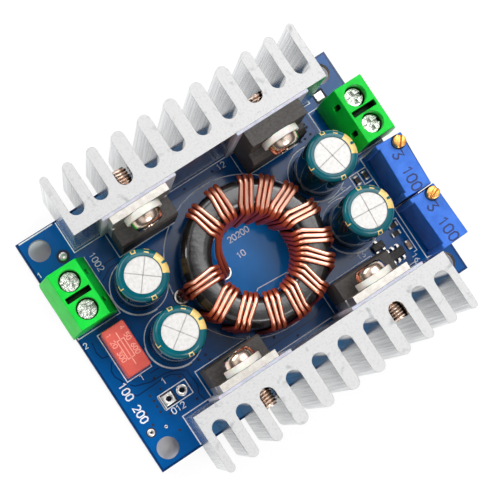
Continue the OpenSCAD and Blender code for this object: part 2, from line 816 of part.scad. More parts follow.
// Moulded housing: a wedge-sided block with two poles, a slot between the wells and two windows
module terminal_housing(k) {
    slope_run = (term_depth - term_top) / 2;
    slope_rise = term_h - term_shoulder;
    slope_angle = atan(slope_run / slope_rise);
    window_z = term_shoulder + slope_rise * window_share;
    color(terminal_green)
    at_terminal(k)
    difference() {
        rotate([90, 0, 0]) translate([0, 0, -term_l / 2]) linear_extrude(term_l)
            polygon([
                [-term_depth / 2, 0], [term_depth / 2, 0], [term_depth / 2, term_shoulder],
                [term_top / 2, term_h], [-term_top / 2, term_h], [-term_depth / 2, term_shoulder]
            ]);
        for (s = [-1, 1]) translate([0, s * pole_pitch / 2, 0]) {
            pole_room();
            translate([-term_depth / 2 + slope_run * window_share, 0, window_z])
                rotate([0, -90 + slope_angle, 0]) translate([0, 0, -window_depth])
                    linear_extrude(window_depth + cut)
                        hull() for (e = [-1, 1])
                            translate([e * (window_l - window_w) / 2, 0]) circle(d = window_w);
        }
        translate([-pole_slot_l / 2, -pole_slot_w / 2, term_h - pole_slot_depth])
            cube([pole_slot_l, pole_slot_w, pole_slot_depth + cut]);
    }
}

// Contact bar through the cage, bent down behind it into the solder pin
module terminal_pins(k) {
    color(tin)
    for (i = [1:2]) at_pole(k, i) {
        translate([pin_u - bar_t / 2, -bar_w / 2, bar_z]) cube([bar_front - pin_u + bar_t / 2, bar_w, bar_t]);
        translate([pin_u - bar_t / 2, -bar_w / 2, 0]) cube([bar_t, bar_w, bar_z + eps]);
        translate([pin_u - bar_t / 2, -term_pin_w / 2, -board_t - lead_below])
            cube([bar_t, term_pin_w, board_t + lead_below + eps]);
    }
}

// Clamp screw: slotted cheese head, its tip on the contact bar
module terminal_screw(k, i) {
    slot = 0.6;
    slot_depth = 0.9;
    cross_l = 2.2;
    color(zinc)
    at_pole(k, i)
    difference() {
        union() {
            translate([0, 0, bar_top + thread_clear])
                cylinder(d = clamp_shank_d, h = clamp_head_z - bar_top - thread_clear + eps);
            translate([0, 0, clamp_head_z]) cylinder(d = clamp_head_d, h = clamp_head_h);
        }
        translate([-clamp_head_d, -slot / 2, clamp_head_z + clamp_head_h - slot_depth])
            cube([2 * clamp_head_d, slot, slot_depth + cut]);
        translate([-slot / 2, -cross_l / 2, clamp_head_z + clamp_head_h - slot_depth])
            cube([slot, cross_l, slot_depth + cut]);
    }
}

// Wire cage: a bent strap round the contact bar, threaded for the clamp screw in its roof
module terminal_cage(k, i) {
    color(zinc)
    at_pole(k, i)
    difference() {
        translate([-cage_depth / 2, -cage_w / 2, cage_low]) cube([cage_depth, cage_w, cage_h]);
        translate([-cage_depth / 2 - cut, -cage_w / 2 + cage_wall, cage_low + cage_floor])
            cube([cage_depth + 2 * cut, cage_w - 2 * cage_wall, cage_h - cage_floor - cage_roof]);
        translate([0, 0, cage_low + cage_h / 2])
            cylinder(d = clamp_shank_d + 2 * thread_clear, h = cage_h);
    }
}

// Local frame of a trimmer, on the board's top face
module at_trimmer(i) {
    translate([trim_pos[i - 1].x, trim_pos[i - 1].y, board_t])
        rotate(trim_skew[i - 1]) children();
}

// Place of the adjusting screw in a trimmer
module at_trimmer_screw(i) {
    at_trimmer(i)
        translate([trim_w / 2 - trim_screw_inset, trim_l / 2 - trim_screw_inset, trim_h]) children();
}

// Blue case: a lug at each end of its inner side, and feet at its ends
module trimmer_body(i) {
    color(trimmer_blue)
    difference() {
        at_trimmer(i) difference() {
            linear_extrude(trim_h) {
                translate([-trim_w / 2 + trim_lug, -trim_l / 2]) square([trim_w - trim_lug, trim_l]);
                for (s = [-1, 1]) translate([-trim_w / 2, s * (trim_l - trim_lug_l) / 2 - trim_lug_l / 2])
                    square([trim_w, trim_lug_l]);
            }
            translate([-trim_w, -trim_l / 2 + trim_lug_l, -cut])
                cube([2 * trim_w, trim_l - 2 * trim_lug_l, trim_foot_h + cut]);
        }
        at_trimmer_screw(i) translate([0, 0, -trim_bore_depth])
            cylinder(d = trim_screw_d + 2 * trim_screw_clear, h = trim_bore_depth + cut);
    }
}

module trimmer_screw(i) {
    slot = 0.5;
    slot_depth = 0.7;
    slot_turn = [55, 20];
    color(brass)
    at_trimmer_screw(i)
    difference() {
        translate([0, 0, -trim_bore_depth + trim_screw_clear])
            cylinder(d = trim_screw_d, h = trim_bore_depth - trim_screw_clear + trim_screw_out);
        rotate(slot_turn[i - 1]) translate([-trim_screw_d, -slot / 2, trim_screw_out - slot_depth])
            cube([2 * trim_screw_d, slot, slot_depth + cut]);
    }
}

module trimmer_leads(i) {
    color(tin)
    for (s = [0:2]) round_lead(trim_leads[3 * (i - 1) + s], trim_leg_d, board_t + trim_foot_h);
}

// Box fuse with rounded upright edges
module fuse_body() {
    color(fuse_red)
    translate([fuse_pos.x, fuse_pos.y, board_t])
    linear_extrude(fuse_h) {
        square([fuse_w - 2 * fuse_edge_r, fuse_l], center = true);
        square([fuse_w, fuse_l - 2 * fuse_edge_r], center = true);
        for (sx = [-1, 1], sy = [-1, 1])
            translate([sx * (fuse_w / 2 - fuse_edge_r), sy * (fuse_l / 2 - fuse_edge_r)]) circle(fuse_edge_r);
    }
}

module fuse_legs() {
    color(tin) for (p = fuse_leads) round_lead(p, fuse_leg_d, board_t);
}

module at_chip(p) {
    translate([p.x, p.y, board_t]) rotate(p.z) children();
}

module chip_bodies() {
    color(chip_grey)
    for (p = chip_places) at_chip(p)
        translate([-chip_l / 2 + chip_end_l, -chip_w / 2, 0]) cube([chip_l - 2 * chip_end_l, chip_w, chip_h]);
}

module chip_ends() {
    color(tin)
    for (p = chip_places, s = [-1, 1]) at_chip(p)
        translate([s * (chip_l - chip_end_l) / 2 - chip_end_l / 2, -chip_w / 2, 0])
            cube([chip_end_l, chip_w, chip_h]);
}

// Small moulded package with wedge sides
module small_body(p, body_l, body_w) {
    draft = 0.12;
    half = body_w / 2;
    color(mould_black)
    translate([p.x, p.y, board_t + small_lift])
    across(body_l)
        polygon([
            [draft - half, 0], [half - draft, 0], [half, small_body_h / 2],
            [half - draft, small_body_h], [draft - half, small_body_h], [-half, small_body_h / 2]
        ]);
}

// One bent leg: out of the body's side, down and along the board
module small_leg(p, body_w, reach, offset, side) {
    half = body_w / 2;
    knee = half + reach / 2;
    exit_z = small_lift + small_body_h / 2;
    color(tin)
    translate([p.x + offset, p.y, board_t])
    mirror([0, side < 0 ? 1 : 0, 0])
    across(small_leg_w)
        polygon([
            [half, exit_z], [knee, exit_z], [knee, 0], [half + reach, 0],
            [half + reach, small_leg_t], [knee + small_leg_t, small_leg_t],
            [knee + small_leg_t, exit_z + small_leg_t], [half, exit_z + small_leg_t]
        ]);
}

module controller_body() {
    small_body(controller_pos, controller_l, controller_w);
}

module controller_leads() {
    for (i = [-1:1], s = [-1, 1])
        small_leg(controller_pos, controller_w, controller_leg_reach, i * controller_leg_pitch, s);
}

module small_transistor_body() {
    small_body(small_transistor_pos, transistor_l, transistor_w);
}

module small_transistor_leads() {
    for (i = [-1:1])
        small_leg(small_transistor_pos, transistor_w, transistor_leg_reach,
            i * transistor_leg_pitch, i == 0 ? 1 : -1);
}

circuit_board();
solder_joints();
heatsink(true);  // heatsink_rear
heatsink(false);  // heatsink_front
for (c = [0:3]) {
    thermal_pad(c);
    package_body(c);
    package_metal(c);
}
insulating_bushes();
package_screws();
for (i = [1:4]) {
    capacitor_can(i - 1);
    capacitor_sleeve(i - 1);
}
capacitor_leads();
inductor_core();
for (i = [1:3])
    winding_strand(i);
for (k = [0:1]) {
    terminal_housing(k);
    terminal_pins(k);
    for (i = [1:2]) {
        terminal_screw(k, i);
        terminal_cage(k, i);
    }
}
for (i = [1:2]) {
    trimmer_body(i);
    trimmer_screw(i);
    trimmer_leads(i);
}
fuse_body();
fuse_legs();  // fuse_leads
chip_bodies();
chip_ends();
controller_body();
controller_leads();
small_transistor_body();
small_transistor_leads();
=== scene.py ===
import math

import bmesh
import bpy
from mathutils import Matrix, Vector


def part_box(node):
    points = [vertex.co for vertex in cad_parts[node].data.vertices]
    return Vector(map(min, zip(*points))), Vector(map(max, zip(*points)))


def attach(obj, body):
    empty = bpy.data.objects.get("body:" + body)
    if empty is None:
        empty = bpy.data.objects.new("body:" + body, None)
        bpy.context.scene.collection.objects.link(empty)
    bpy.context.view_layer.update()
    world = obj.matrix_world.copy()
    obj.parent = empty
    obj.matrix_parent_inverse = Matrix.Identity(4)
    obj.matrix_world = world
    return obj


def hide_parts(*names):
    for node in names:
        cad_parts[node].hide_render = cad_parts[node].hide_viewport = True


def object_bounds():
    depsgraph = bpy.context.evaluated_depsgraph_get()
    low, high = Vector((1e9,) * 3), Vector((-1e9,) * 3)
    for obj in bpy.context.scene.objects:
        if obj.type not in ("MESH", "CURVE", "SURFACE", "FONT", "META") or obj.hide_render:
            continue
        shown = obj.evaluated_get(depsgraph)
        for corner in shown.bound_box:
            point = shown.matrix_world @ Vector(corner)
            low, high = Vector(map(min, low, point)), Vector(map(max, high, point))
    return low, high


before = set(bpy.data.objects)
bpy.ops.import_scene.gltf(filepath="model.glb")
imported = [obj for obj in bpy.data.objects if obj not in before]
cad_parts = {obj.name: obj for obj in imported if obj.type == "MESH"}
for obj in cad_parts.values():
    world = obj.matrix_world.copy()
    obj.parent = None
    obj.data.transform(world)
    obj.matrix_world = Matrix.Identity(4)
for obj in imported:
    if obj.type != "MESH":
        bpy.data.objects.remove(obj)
cad_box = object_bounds()
scene = bpy.context.scene
scene.view_settings.view_transform = "Standard"

# Circuit board: glass-fibre laminate with copper foil on both faces under a blue solder mask.
# It was routed to its outline and drilled, so its edges and hole walls show the bare laminate.
# Everything else is soldered or screwed to it.
MM = 0.001
BOARD = "board_assembly"


def linear(code):
    """An sRGB hex colour as the linear values that a shader takes."""
    parts = [int(code[i:i + 2], 16) / 255 for i in (1, 3, 5)]
    return (*[p / 12.92 if p < 0.04045 else ((p + 0.055) / 1.055) ** 2.4 for p in parts], 1)


def add_node(tree, kind, inputs=None, **settings):
    """A new node with its settings; each input is a value, or a socket that is linked to it."""
    node = tree.nodes.new(kind)
    for name, value in settings.items():
        setattr(node, name, value)
    for socket, value in (inputs or {}).items():
        if isinstance(value, bpy.types.NodeSocket):
            tree.links.new(value, node.inputs[socket])
        else:
            node.inputs[socket].default_value = value
    return node


def new_finish(name, sockets):
    """A new material with these constant values on its shader, with its node tree and shader."""
    finish = bpy.data.materials.new(name)
    finish.use_nodes = True
    shader = finish.node_tree.nodes["Principled BSDF"]
    for socket, value in sockets.items():
        shader.inputs[socket].default_value = value
    return finish, finish.node_tree, shader


def mottled(tree, shader, light, dark, grain_mm, relief_mm, contrast=0.15, stretch=(1, 1, 1)):
    """Two tones in patches of this size over the piece, with a relief of this height; gives the tone."""
    place = add_node(tree, "ShaderNodeTexCoord")
    spread = add_node(tree, "ShaderNodeMapping", {"Vector": place.outputs["Object"], "Scale": stretch})
    grain = add_node(tree, "ShaderNodeTexNoise", {
        "Vector": spread.outputs["Vector"], "Scale": 1 / (grain_mm * MM), "Detail": 5.0, "Roughness": 0.6})
    share = add_node(tree, "ShaderNodeMapRange", {
        "Value": grain.outputs["Fac"], "From Min": 0.5 - contrast, "From Max": 0.5 + contrast})
    tone = add_node(tree, "ShaderNodeMix", {
        0: share.outputs["Result"], 6: linear(dark), 7: linear(light)}, data_type="RGBA")
    tree.links.new(tone.outputs[2], shader.inputs["Base Color"])
    relief = add_node(tree, "ShaderNodeBump", {
        "Height": grain.outputs["Fac"], "Distance": relief_mm * MM, "Strength": 1.0})
    tree.links.new(relief.outputs["Normal"], shader.inputs["Normal"])
    return tone.outputs[2]


def painted_hollow_shade(tree, shader, tone, deep, reach_mm, closed, open_sky):
    """Paints shade into a tone: turns it to a deeper one in hollows, between two shares of open sky within
    this reach.
    """
    sky = add_node(tree, "ShaderNodeAmbientOcclusion", {"Distance": reach_mm * MM}, samples=8)
    share = add_node(tree, "ShaderNodeMapRange", {
        "Value": sky.outputs["AO"], "From Min": closed, "From Max": open_sky})
    mix = add_node(tree, "ShaderNodeMix", {
        0: share.outputs["Result"], 6: linear(deep), 7: tone}, data_type="RGBA")
    tree.links.new(mix.outputs[2], shader.inputs["Base Color"])


# Solder mask, a cured blue lacquer: even and glossy, a little deeper where the copper below ends,
# with the weave of the glass cloth just felt through it. Cut edges are tan, with dark fibre ends.
mask, tree, shader = new_finish("solder mask over glass laminate", {
    "Roughness": 0.1, "IOR": 1.45, "Specular IOR Level": 0.4})
lacquer = mottled(tree, shader, "#025CA6", "#024F92", 7, 0.002)
facing = add_node(tree, "ShaderNodeTexCoord")
level = add_node(tree, "ShaderNodeSeparateXYZ", {"Vector": facing.outputs["Normal"]})
flat = add_node(tree, "ShaderNodeMath", {0: level.outputs["Z"]}, operation="ABSOLUTE")
on_face = add_node(tree, "ShaderNodeMath", {0: flat.outputs[0], 1: 0.5}, operation="GREATER_THAN")
fibre = add_node(tree, "ShaderNodeTexNoise", {
    "Vector": facing.outputs["Object"], "Scale": 1 / (0.15 * MM), "Detail": 3.0})
cut_tone = add_node(tree, "ShaderNodeMix", {
    0: fibre.outputs["Fac"], 6: linear("#5B4A34"), 7: linear("#B79A72")}, data_type="RGBA")
board_tone = add_node(tree, "ShaderNodeMix", {
    0: on_face.outputs[0], 6: cut_tone.outputs[2], 7: lacquer}, data_type="RGBA")
tree.links.new(board_tone.outputs[2], shader.inputs["Base Color"])
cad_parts["circuit_board"].data.materials.clear()
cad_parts["circuit_board"].data.materials.append(mask)

# Gaps between the copper areas: where the foil was etched away, the mask lies on bare laminate.
# They show as deeper blue lines round the board's edge and between the tracks.
board_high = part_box("circuit_board")[1]
top_mm = board_high.z / MM


def ribbon(shape, line, width, level, closed=False):
    """Adds a flat strip of this width along a line of points, mitred at its bends; all in mm."""
    edges = []
    for i, point in enumerate(line):
        here = Vector(point)
        before = here - Vector(line[i - 1]) if i or closed else None
        after = Vector(line[(i + 1) % len(line)]) - here if i < len(line) - 1 or closed else None
        normals = [Vector((-d.y, d.x)).normalized() for d in (before, after) if d is not None]
        middle = sum(normals, Vector((0, 0))) / len(normals)
        reach = middle / max(middle.length_squared, 0.3) * width / 2
        edges.append([shape.verts.new(Vector((*(here + s * reach), level)) * MM) for s in (-1, 1)])
    pairs = zip(edges, edges[1:] + edges[:1]) if closed else zip(edges, edges[1:])
    for a, b in pairs:
        shape.faces.new((a[0], b[0], b[1], a[1]))


def arc(centre, radius, start=0, end=360, step=6):
    """Points on an arc between two angles in degrees, in mm; a whole turn leaves the last one out."""
    count = max(2, round(abs(end - start) / step))
    angles = [math.radians(start + (end - start) * i / count) for i in range(count + 1)]
    if abs(end - start) == 360:
        angles.pop()
    return [(centre[0] + radius * math.cos(a), centre[1] + radius * math.sin(a)) for a in angles]


def oblong(x0, y0, x1, y1):
    """The four corners of a rectangle, in mm."""
    return [(x0, y0), (x1, y0), (x1, y1), (x0, y1)]


def new_piece(name, shape, finish, slot, *replaced, body=BOARD):
    """A mesh object with this finish that rides on a body and stands for the nodes named."""
    mesh = bpy.data.meshes.new(name)
    shape.normal_update()
    shape.to_mesh(mesh)
    shape.free()
    mesh.materials.append(finish)
    mesh.shade_smooth()
    mesh.set_sharp_from_angle(angle=math.radians(35))
    piece = bpy.data.objects.new(name, mesh)
    scene.collection.objects.link(piece)
    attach(piece, body)
    if replaced:
        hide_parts(*replaced)
    return piece


etched, tree, shader = new_finish("solder mask on etched laminate", {
    "Roughness": 0.12, "IOR": 1.45, "Specular IOR Level": 0.4})
mottled(tree, shader, "#023C74", "#023264", 2, 0.002)
shape = bmesh.new()
gap_level = top_mm + 0.012
edge_in, edge_gap, track_gap = 0.2, 0.36, 0.22
edge_x, edge_y = board_high.x / MM - edge_in, board_high.y / MM - edge_in
ribbon(shape, oblong(-edge_x, -edge_y, edge_x, edge_y), edge_gap, gap_level, closed=True)
for gap in (
    [(-26.8, -7.1), (-26.2, -7.7), (-23.8, -8.5), (-21.2, -8.6), (-19.5, -9.1), (-18, -10.1),
     (-17.8, -12.9), (-18.4, -14.3), (-18.1, -15.6)],
    [(-27.4, -8.6), (-26.7, -9.2), (-21.7, -9.1), (-20.6, -9.2), (-18.9, -10.2), (-18.7, -12.7)],
    [(-27.3, -2.5), (-28.1, -3.6), (-28.1, -4.7), (-27.5, -6), (-27.4, -8.6)],
    [(-21.4, -7.3), (-23.1, -7.3)],
    [(-28.2, 1.8), (-28.5, 0.1), (-28.2, -1.1), (-27.2, -1.4)],
    [(-21.4, 10.2), (-19.4, 11.4), (-17.6, 11.4)],
    [(-21.4, 9.2), (-19.2, 10.4), (-14, 10.4), (-12.6, 9.2)],
    [(-13.4, 3.2), (-13.4, -1.2), (-12.2, -4)],
    [(15.4, 9.9), (20.6, 10.2), (21.4, 11), (21.4, 14.6)],
    [(14.2, -9.6), (17.6, -9.6), (18.8, -11.2)],
    [(-6, -14.4), (4, -14.4), (6.4, -13.2)],
    [(-5.6, 14.2), (5.4, 14)],
):
    ribbon(shape, gap, track_gap, gap_level)
new_piece("etched_gaps", shape, etched, "laminate")

# Copper pours inside the ring inductor: unbroken areas of foil below the mask, which make the blue paler
# there than over bare laminate. Below the heatsinks a pour is drawn in a much paler blue, which is painted
# light thrown down the bright slots onto the board.
poured, tree, shader = new_finish("solder mask over copper pour", {
    "Roughness": 0.1, "IOR": 1.45, "Specular IOR Level": 0.2})
mottled(tree, shader, "#0880D8", "#0676CA", 5, 0.002)
# Painted light: pale blue below the heatsinks, where light from the slot walls falls on the board.
painted_light_pour, tree, shader = new_finish("solder mask with painted light below the heatsinks", {
    "Roughness": 0.1, "IOR": 1.45, "Specular IOR Level": 0.4})
mottled(tree, shader, "#5C9CD4", "#4C8EC8", 5, 0.002)
shape = bmesh.new()
pour_level = top_mm + 0.008
core_low, core_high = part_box("inductor_core")
coil = ((core_low + core_high) / 2 / MM).xy
eye_r = 6.6
for pour in (arc(coil, eye_r, step=4), oblong(-22.2, 17.6, 22.7, 21.3), oblong(-22.2, -21.3, 22.7, -18.2)):
    shape.faces.new([shape.verts.new(Vector((x, y, pour_level)) * MM) for x, y in pour])
for face in shape.faces:
    face.material_index = int(len(face.verts) == 4)
pour_piece = new_piece("poured_copper", shape, poured, "laminate")
pour_piece.data.materials.append(painted_light_pour)

# Component outlines: white epoxy ink, screen printed on the mask before the parts were fitted.
# The squeegee leaves it thin, so the blue shows faintly through, and thicker at the marked ends.
ink, tree, shader = new_finish("screen-printed epoxy ink", {"Roughness": 0.6, "IOR": 1.5})
mottled(tree, shader, "#FCFDFF", "#DCE6F6", 0.5, 0.004)
shape = bmesh.new()
ink_level, ink_line = top_mm + 0.022, 0.17
for outline in (
    oblong(-26.9, -6.5, -22.3, 2.3),
    oblong(-24.15, -13.6, -19.05, -11.05),
    oblong(-17.05, 10.9, -6.6, 15.5), oblong(7.15, 10.9, 17.5, 15.5),
    oblong(-17.05, -16.1, -6.6, -11.05), oblong(7.15, -16.1, 17.5, -11.05),
    oblong(-29.7, 3.4, -21.85, 14), oblong(21.95, 4, 29.7, 14.15),
    oblong(25, -6.75, 29.7, 3.2), oblong(25.2, -16.4, 29.7, -7),
    oblong(21.75, -0.75, 24.95, 1.65),
    arc((0.3, 0), 13.45, step=3), arc(coil, eye_r + 0.05, step=4),
):
    ribbon(shape, outline, ink_line, ink_level, closed=True)
ring_r, minus_ring_r, minus_line = 4.7, 4.8, 0.22
minus_from, minus_to, second_coat = 165, 275, 0.004
for node in range(1, 5):
    low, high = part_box(f"capacitor_{node}_sleeve")
    centre = ((low + high) / 2 / MM).xy
    ribbon(shape, arc(centre, ring_r, step=4), ink_line, ink_level, closed=True)
    minus_arc = arc(centre, minus_ring_r, minus_from, minus_to, step=4)
    ribbon(shape, minus_arc, minus_line, ink_level + second_coat)
for line, width in (
    ([(-24.1, -13.55), (-24.1, -11.1)], 0.42),
    ([(-1.5, -5.7), (-1.1, -5.4), (4.4, -5.8)], ink_line),
    ([(-22.7, 21.2), (-22.7, 15.45), (23.1, 15.45), (23.1, 21.2)], ink_line),
    ([(-22.55, -21.2), (-22.55, -15.85), (23.1, -15.85), (23.1, -21.2)], ink_line),
    ([(23.35, -0.7), (23.35, 1.6)], ink_line),
    ([(16.4, 0), (21.2, 0.3)], ink_line),
    ([(22.2, -8.1), (24.5, -8.1), (24.5, -14.4), (23.9, -14.4)], ink_line),
    ([(-29.5, 21.25), (-23.2, 21.25)], 0.2),
):
    ribbon(shape, line, width, ink_level)
digits = {
    "0": [(0, 0.2), (0.2, 0), (0.4, 0), (0.6, 0.2), (0.6, 0.8), (0.4, 1), (0.2, 1), (0, 0.8), (0, 0.2)],
    "1": [(0.1, 0.75), (0.35, 1), (0.35, 0)],
    "2": [(0, 0.8), (0.2, 1), (0.4, 1), (0.6, 0.8), (0.6, 0.6), (0, 0), (0.6, 0)],
    "3": [(0, 1), (0.6, 1), (0.25, 0.6), (0.6, 0.35), (0.6, 0.2), (0.4, 0), (0.2, 0), (0, 0.2)],
    "4": [(0.45, 0), (0.45, 1), (0, 0.3), (0.6, 0.3)],
    "5": [(0.6, 1), (0.05, 1), (0, 0.55), (0.4, 0.6), (0.6, 0.4), (0.6, 0.2), (0.4, 0), (0, 0)],
    "6": [(0.5, 1), (0.1, 0.6), (0, 0.3), (0.2, 0), (0.4, 0), (0.6, 0.2), (0.6, 0.4), (0.4, 0.55),
          (0.1, 0.5)],
}
digit_step = 0.85


def numerals(shape, text, place, turn, height, stroke, level):
    """Adds plain numbers as strokes from a place in mm, read along a direction in degrees."""
    spin = Matrix.Rotation(math.radians(turn), 2)
    for i, digit in enumerate(text):
        if digit in digits:
            points = [Vector(place) + spin @ (Vector((u + digit_step * i, v)) * height)
                      for u, v in digits[digit]]
            ribbon(shape, [tuple(point) for point in points], stroke, level)


for text, place, turn, height, stroke in (
    ("100 200", (-28.55, -6.2), -90, 1.25, 0.24),
    ("012", (-23.5, -14.85), 0, 1, ink_line),
    ("1", (-22.3, -10), 0, 1, ink_line), ("1", (-24.9, -7.6), 0, 1, ink_line),
    ("10", (-1, 0.3), 0, 0.95, ink_line), ("20200", (-0.85, 3.2), 0, 0.95, ink_line),
    ("1002", (-21.05, 13.9), -90, 1, 0.15), ("12", (4.2, 14.15), 0, 0.95, 0.15),
    ("1", (-29.6, 14.9), 0, 0.9, 0.15), ("2", (-29.6, 1.5), 0, 0.9, 0.15),
    ("13", (15.5, -10.6), 0, 0.9, 0.15), ("16", (23.2, -14.7), -90, 0.9, 0.15),
    ("4", (19.4, 1), -90, 0.9, 0.15),
):
    numerals(shape, text, place, turn, height, stroke, ink_level)
new_piece("printed_outlines", shape, ink, "laminate")

# Copper lands: left bare of mask, then dipped in tin, so each is a bright low cushion of metal.
# They ring the header's holes, a test pad at each end and the two holes where the coil's wires go in.
solder, tree, shader = new_finish("tin solder, flowed", {"Metallic": 1.0, "Roughness": 0.3})
mottled(tree, shader, "#F4F2EE", "#CFCDC8", 0.6, 0.02)


def land(shape, centre, half, bore, level, square=0.0, height=0.05):
    """Adds a low tinned cushion, round or square outside, with a round bore or none; all in mm."""
    count = 48
    rows = []
    for share, rise in ((0, 0), (0.12, 0.7), (0.3, 1), (0.75, 1), (1, 0.5)):
        row = []
        for i in range(count):
            a = math.tau * i / count
            corner = 1 / max(abs(math.cos(a)), abs(math.sin(a)))
            outside = half * (1 + square * (corner - 1))
            r = outside + (bore - outside) * share
            row.append(shape.verts.new(Vector((
                centre[0] + r * math.cos(a), centre[1] + r * math.sin(a), level + rise * height)) * MM))
        rows.append(row)
    for a, b in zip(rows, rows[1:]):
        for i in range(count):
            shape.faces.new((a[i], a[(i + 1) % count], b[(i + 1) % count], b[i]))


shape = bmesh.new()
land_level = top_mm + 0.01
square_hole, round_hole, header_bore = (-22.87, -12.3), (-20.33, -12.3), 0.47
round_pad, square_pad, closed_bore = (-24.55, 15.9), (25.15, 15.6), 0.02
test_hole, test_bore = (-28.1, -15.25), 0.24
small_hole, small_bore = (-25.6, -15.75), 0.14
start_hole, end_hole, wire_land, wire_bore = (-4.33, -0.29), (-12.18, 0.18), 1.4, 0.8
land(shape, square_hole, 0.92, header_bore, land_level, square=0.92)
land(shape, round_hole, 0.95, header_bore, land_level)
land(shape, round_pad, 0.78, closed_bore, land_level, height=0.25)
land(shape, square_pad, 0.74, closed_bore, land_level, square=0.9, height=0.05)
land(shape, test_hole, 0.62, test_bore, land_level)
land(shape, small_hole, 0.29, small_bore, land_level)
for hole in (start_hole, end_hole):
    land(shape, hole, wire_land, wire_bore, land_level, height=0.3)
new_piece("tinned_lands", shape, solder, "solder")

# Bare laminate round the lands: the mask was kept clear of them, and the copper was etched away, so a dark
# ring of glass cloth shows. The vias between the two faces are as dark. The small holes are filled with the
# same dark as painted shade, standing for the shade inside them.
bare, tree, shader = new_finish("bare glass laminate and painted hole shade", {"Roughness": 0.6})
mottled(tree, shader, "#0B1C3A", "#07132A", 0.3, 0.01)
vias = (
    (-23, -8.3), (-23.1, -10.3), (-25.1, -10.3), (-25, -11.3), (-25.1, -12.3), (-25.1, -13.3),
    (-27.2, -12.3), (-27.2, -14.4), (-24.1, -17.4), (-19.1, -14.8), (-17.1, -9.7), (-14.1, -9.7),
    (-13.9, -10.7), (-15.5, -9.7), (-19.5, -10.3), (-23.9, -14.4), (20.3, 13.9), (20.3, 13), (20.4, 12.4),
    (20.3, 11.1), (19.1, 10.9), (18.2, 10.9), (0, 13.5), (-2.2, 14.6), (3.2, 14.6), (0.1, -15.3),
    (-3.3, -13.4),
)
shape = bmesh.new()
ring_level, hole_shade_level, via_level = gap_level + 0.005, gap_level + 0.02, gap_level + 0.004
pad_ring, test_ring, header_ring = 0.34, 0.2, 0.3
via_r, via_line = 0.12, 0.22
ribbon(shape, arc(round_pad, 0.95), pad_ring, ring_level, closed=True)
ribbon(shape, oblong(24.25, 14.7, 26.05, 16.5), pad_ring, ring_level, closed=True)
ribbon(shape, arc(test_hole, 0.72), test_ring, ring_level, closed=True)
ribbon(shape, oblong(-23.95, -13.38, -21.79, -11.22), header_ring, ring_level, closed=True)
# Painted shade: dark discs fill the small holes.
for hole, bore in ((test_hole, test_bore), (small_hole, small_bore)):
    ribbon(shape, arc(hole, bore / 2), bore, hole_shade_level, closed=True)
for via in vias:
    ribbon(shape, arc(via, via_r, step=30), via_line, via_level, closed=True)
new_piece("bare_surrounds_and_hole_shade", shape, bare, "laminate")

# Solder fillets and trimmed legs under the board: each leg was pushed through its hole, wave
# soldered from below and cut off. Legs are tinned steel or copper wire and stamped tinned brass.
# The tin on them is pale silver and a little dull.
tinned, tree, shader = new_finish("tinned brass, stamped and drawn", {"Metallic": 1.0, "Roughness": 0.34})
mottled(tree, shader, "#EDEAE4", "#BEB9B0", 0.8, 0.008)


def dress(finish, *names):
    """Gives CAD nodes that keep their shape this finish."""
    for name in names:
        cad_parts[name].data.materials.clear()
        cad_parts[name].data.materials.append(finish)


dress(solder, "solder_joints")
dress(tinned, "capacitor_leads", "trimmer_1_leads", "trimmer_2_leads", "fuse_leads")

# Heatsinks: aluminium alloy pushed through a die as one long finned bar, sawn to height, drilled and
# tapped. The walls keep the die's fine upright lines and the sawn ends are bright and scratched.


def softened(node, edge_mm, finish, slot, body=BOARD):
    """A copy of a CAD node with its sharp edges rounded, which stands for the node."""
    weld, flat, corner = 0.002 * MM, math.radians(1), math.radians(30)
    shape = bmesh.new()
    shape.from_mesh(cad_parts[node].data)
    bmesh.ops.remove_doubles(shape, verts=shape.verts, dist=weld)
    bmesh.ops.dissolve_limit(shape, angle_limit=flat, verts=shape.verts, edges=shape.edges)
    sharp = [e for e in shape.edges if len(e.link_faces) == 2 and e.calc_face_angle(0) > corner]
    bmesh.ops.bevel(shape, geom=sharp, offset=edge_mm * MM, segments=2, profile=0.5, affect="EDGES")
    piece = new_piece(node + "_finished", shape, finish, slot, node, body=body)
    even = piece.modifiers.new("even faces", "WEIGHTED_NORMAL")
    even.weight = 100
    even.keep_sharp = True
    return piece


# Mill-finish aluminium: pale and broad in its shine. On the walls the die's lines show as fine
# upright streaks, and on the sawn ends a silvery speckle with a few grey scuffs.
alloy, tree, shader = new_finish("extruded aluminium, sawn ends", {"Metallic": 1.0})
wall_tone = mottled(tree, shader, "#F6F7F8", "#CCCED0", 0.25, 0.001, stretch=(1, 1, 0.012))
facing = add_node(tree, "ShaderNodeTexCoord")
level = add_node(tree, "ShaderNodeSeparateXYZ", {"Vector": facing.outputs["Normal"]})
flat = add_node(tree, "ShaderNodeMath", {0: level.outputs["Z"]}, operation="ABSOLUTE")
on_end = add_node(tree, "ShaderNodeMath", {0: flat.outputs[0], 1: 0.7}, operation="GREATER_THAN")
speck = add_node(tree, "ShaderNodeTexNoise", {
    "Vector": facing.outputs["Object"], "Scale": 1 / (0.32 * MM), "Detail": 6.0, "Roughness": 0.7})
speck_share = add_node(tree, "ShaderNodeMapRange", {
    "Value": speck.outputs["Fac"], "From Min": 0.3, "From Max": 0.5})
scuff = add_node(tree, "ShaderNodeTexNoise", {
    "Vector": facing.outputs["Object"], "Scale": 1 / (1.8 * MM), "Detail": 8.0, "Distortion": 0.4})
scuff_share = add_node(tree, "ShaderNodeMapRange", {
    "Value": scuff.outputs["Fac"], "From Min": 0.28, "From Max": 0.4})
end_tone = add_node(tree, "ShaderNodeMix", {
    0: speck_share.outputs["Result"], 6: linear("#BCBCBC"), 7: linear("#CECECE")}, data_type="RGBA")
worn_tone = add_node(tree, "ShaderNodeMix", {
    0: scuff_share.outputs["Result"], 6: linear("#AEAFB1"), 7: end_tone.outputs[2]}, data_type="RGBA")
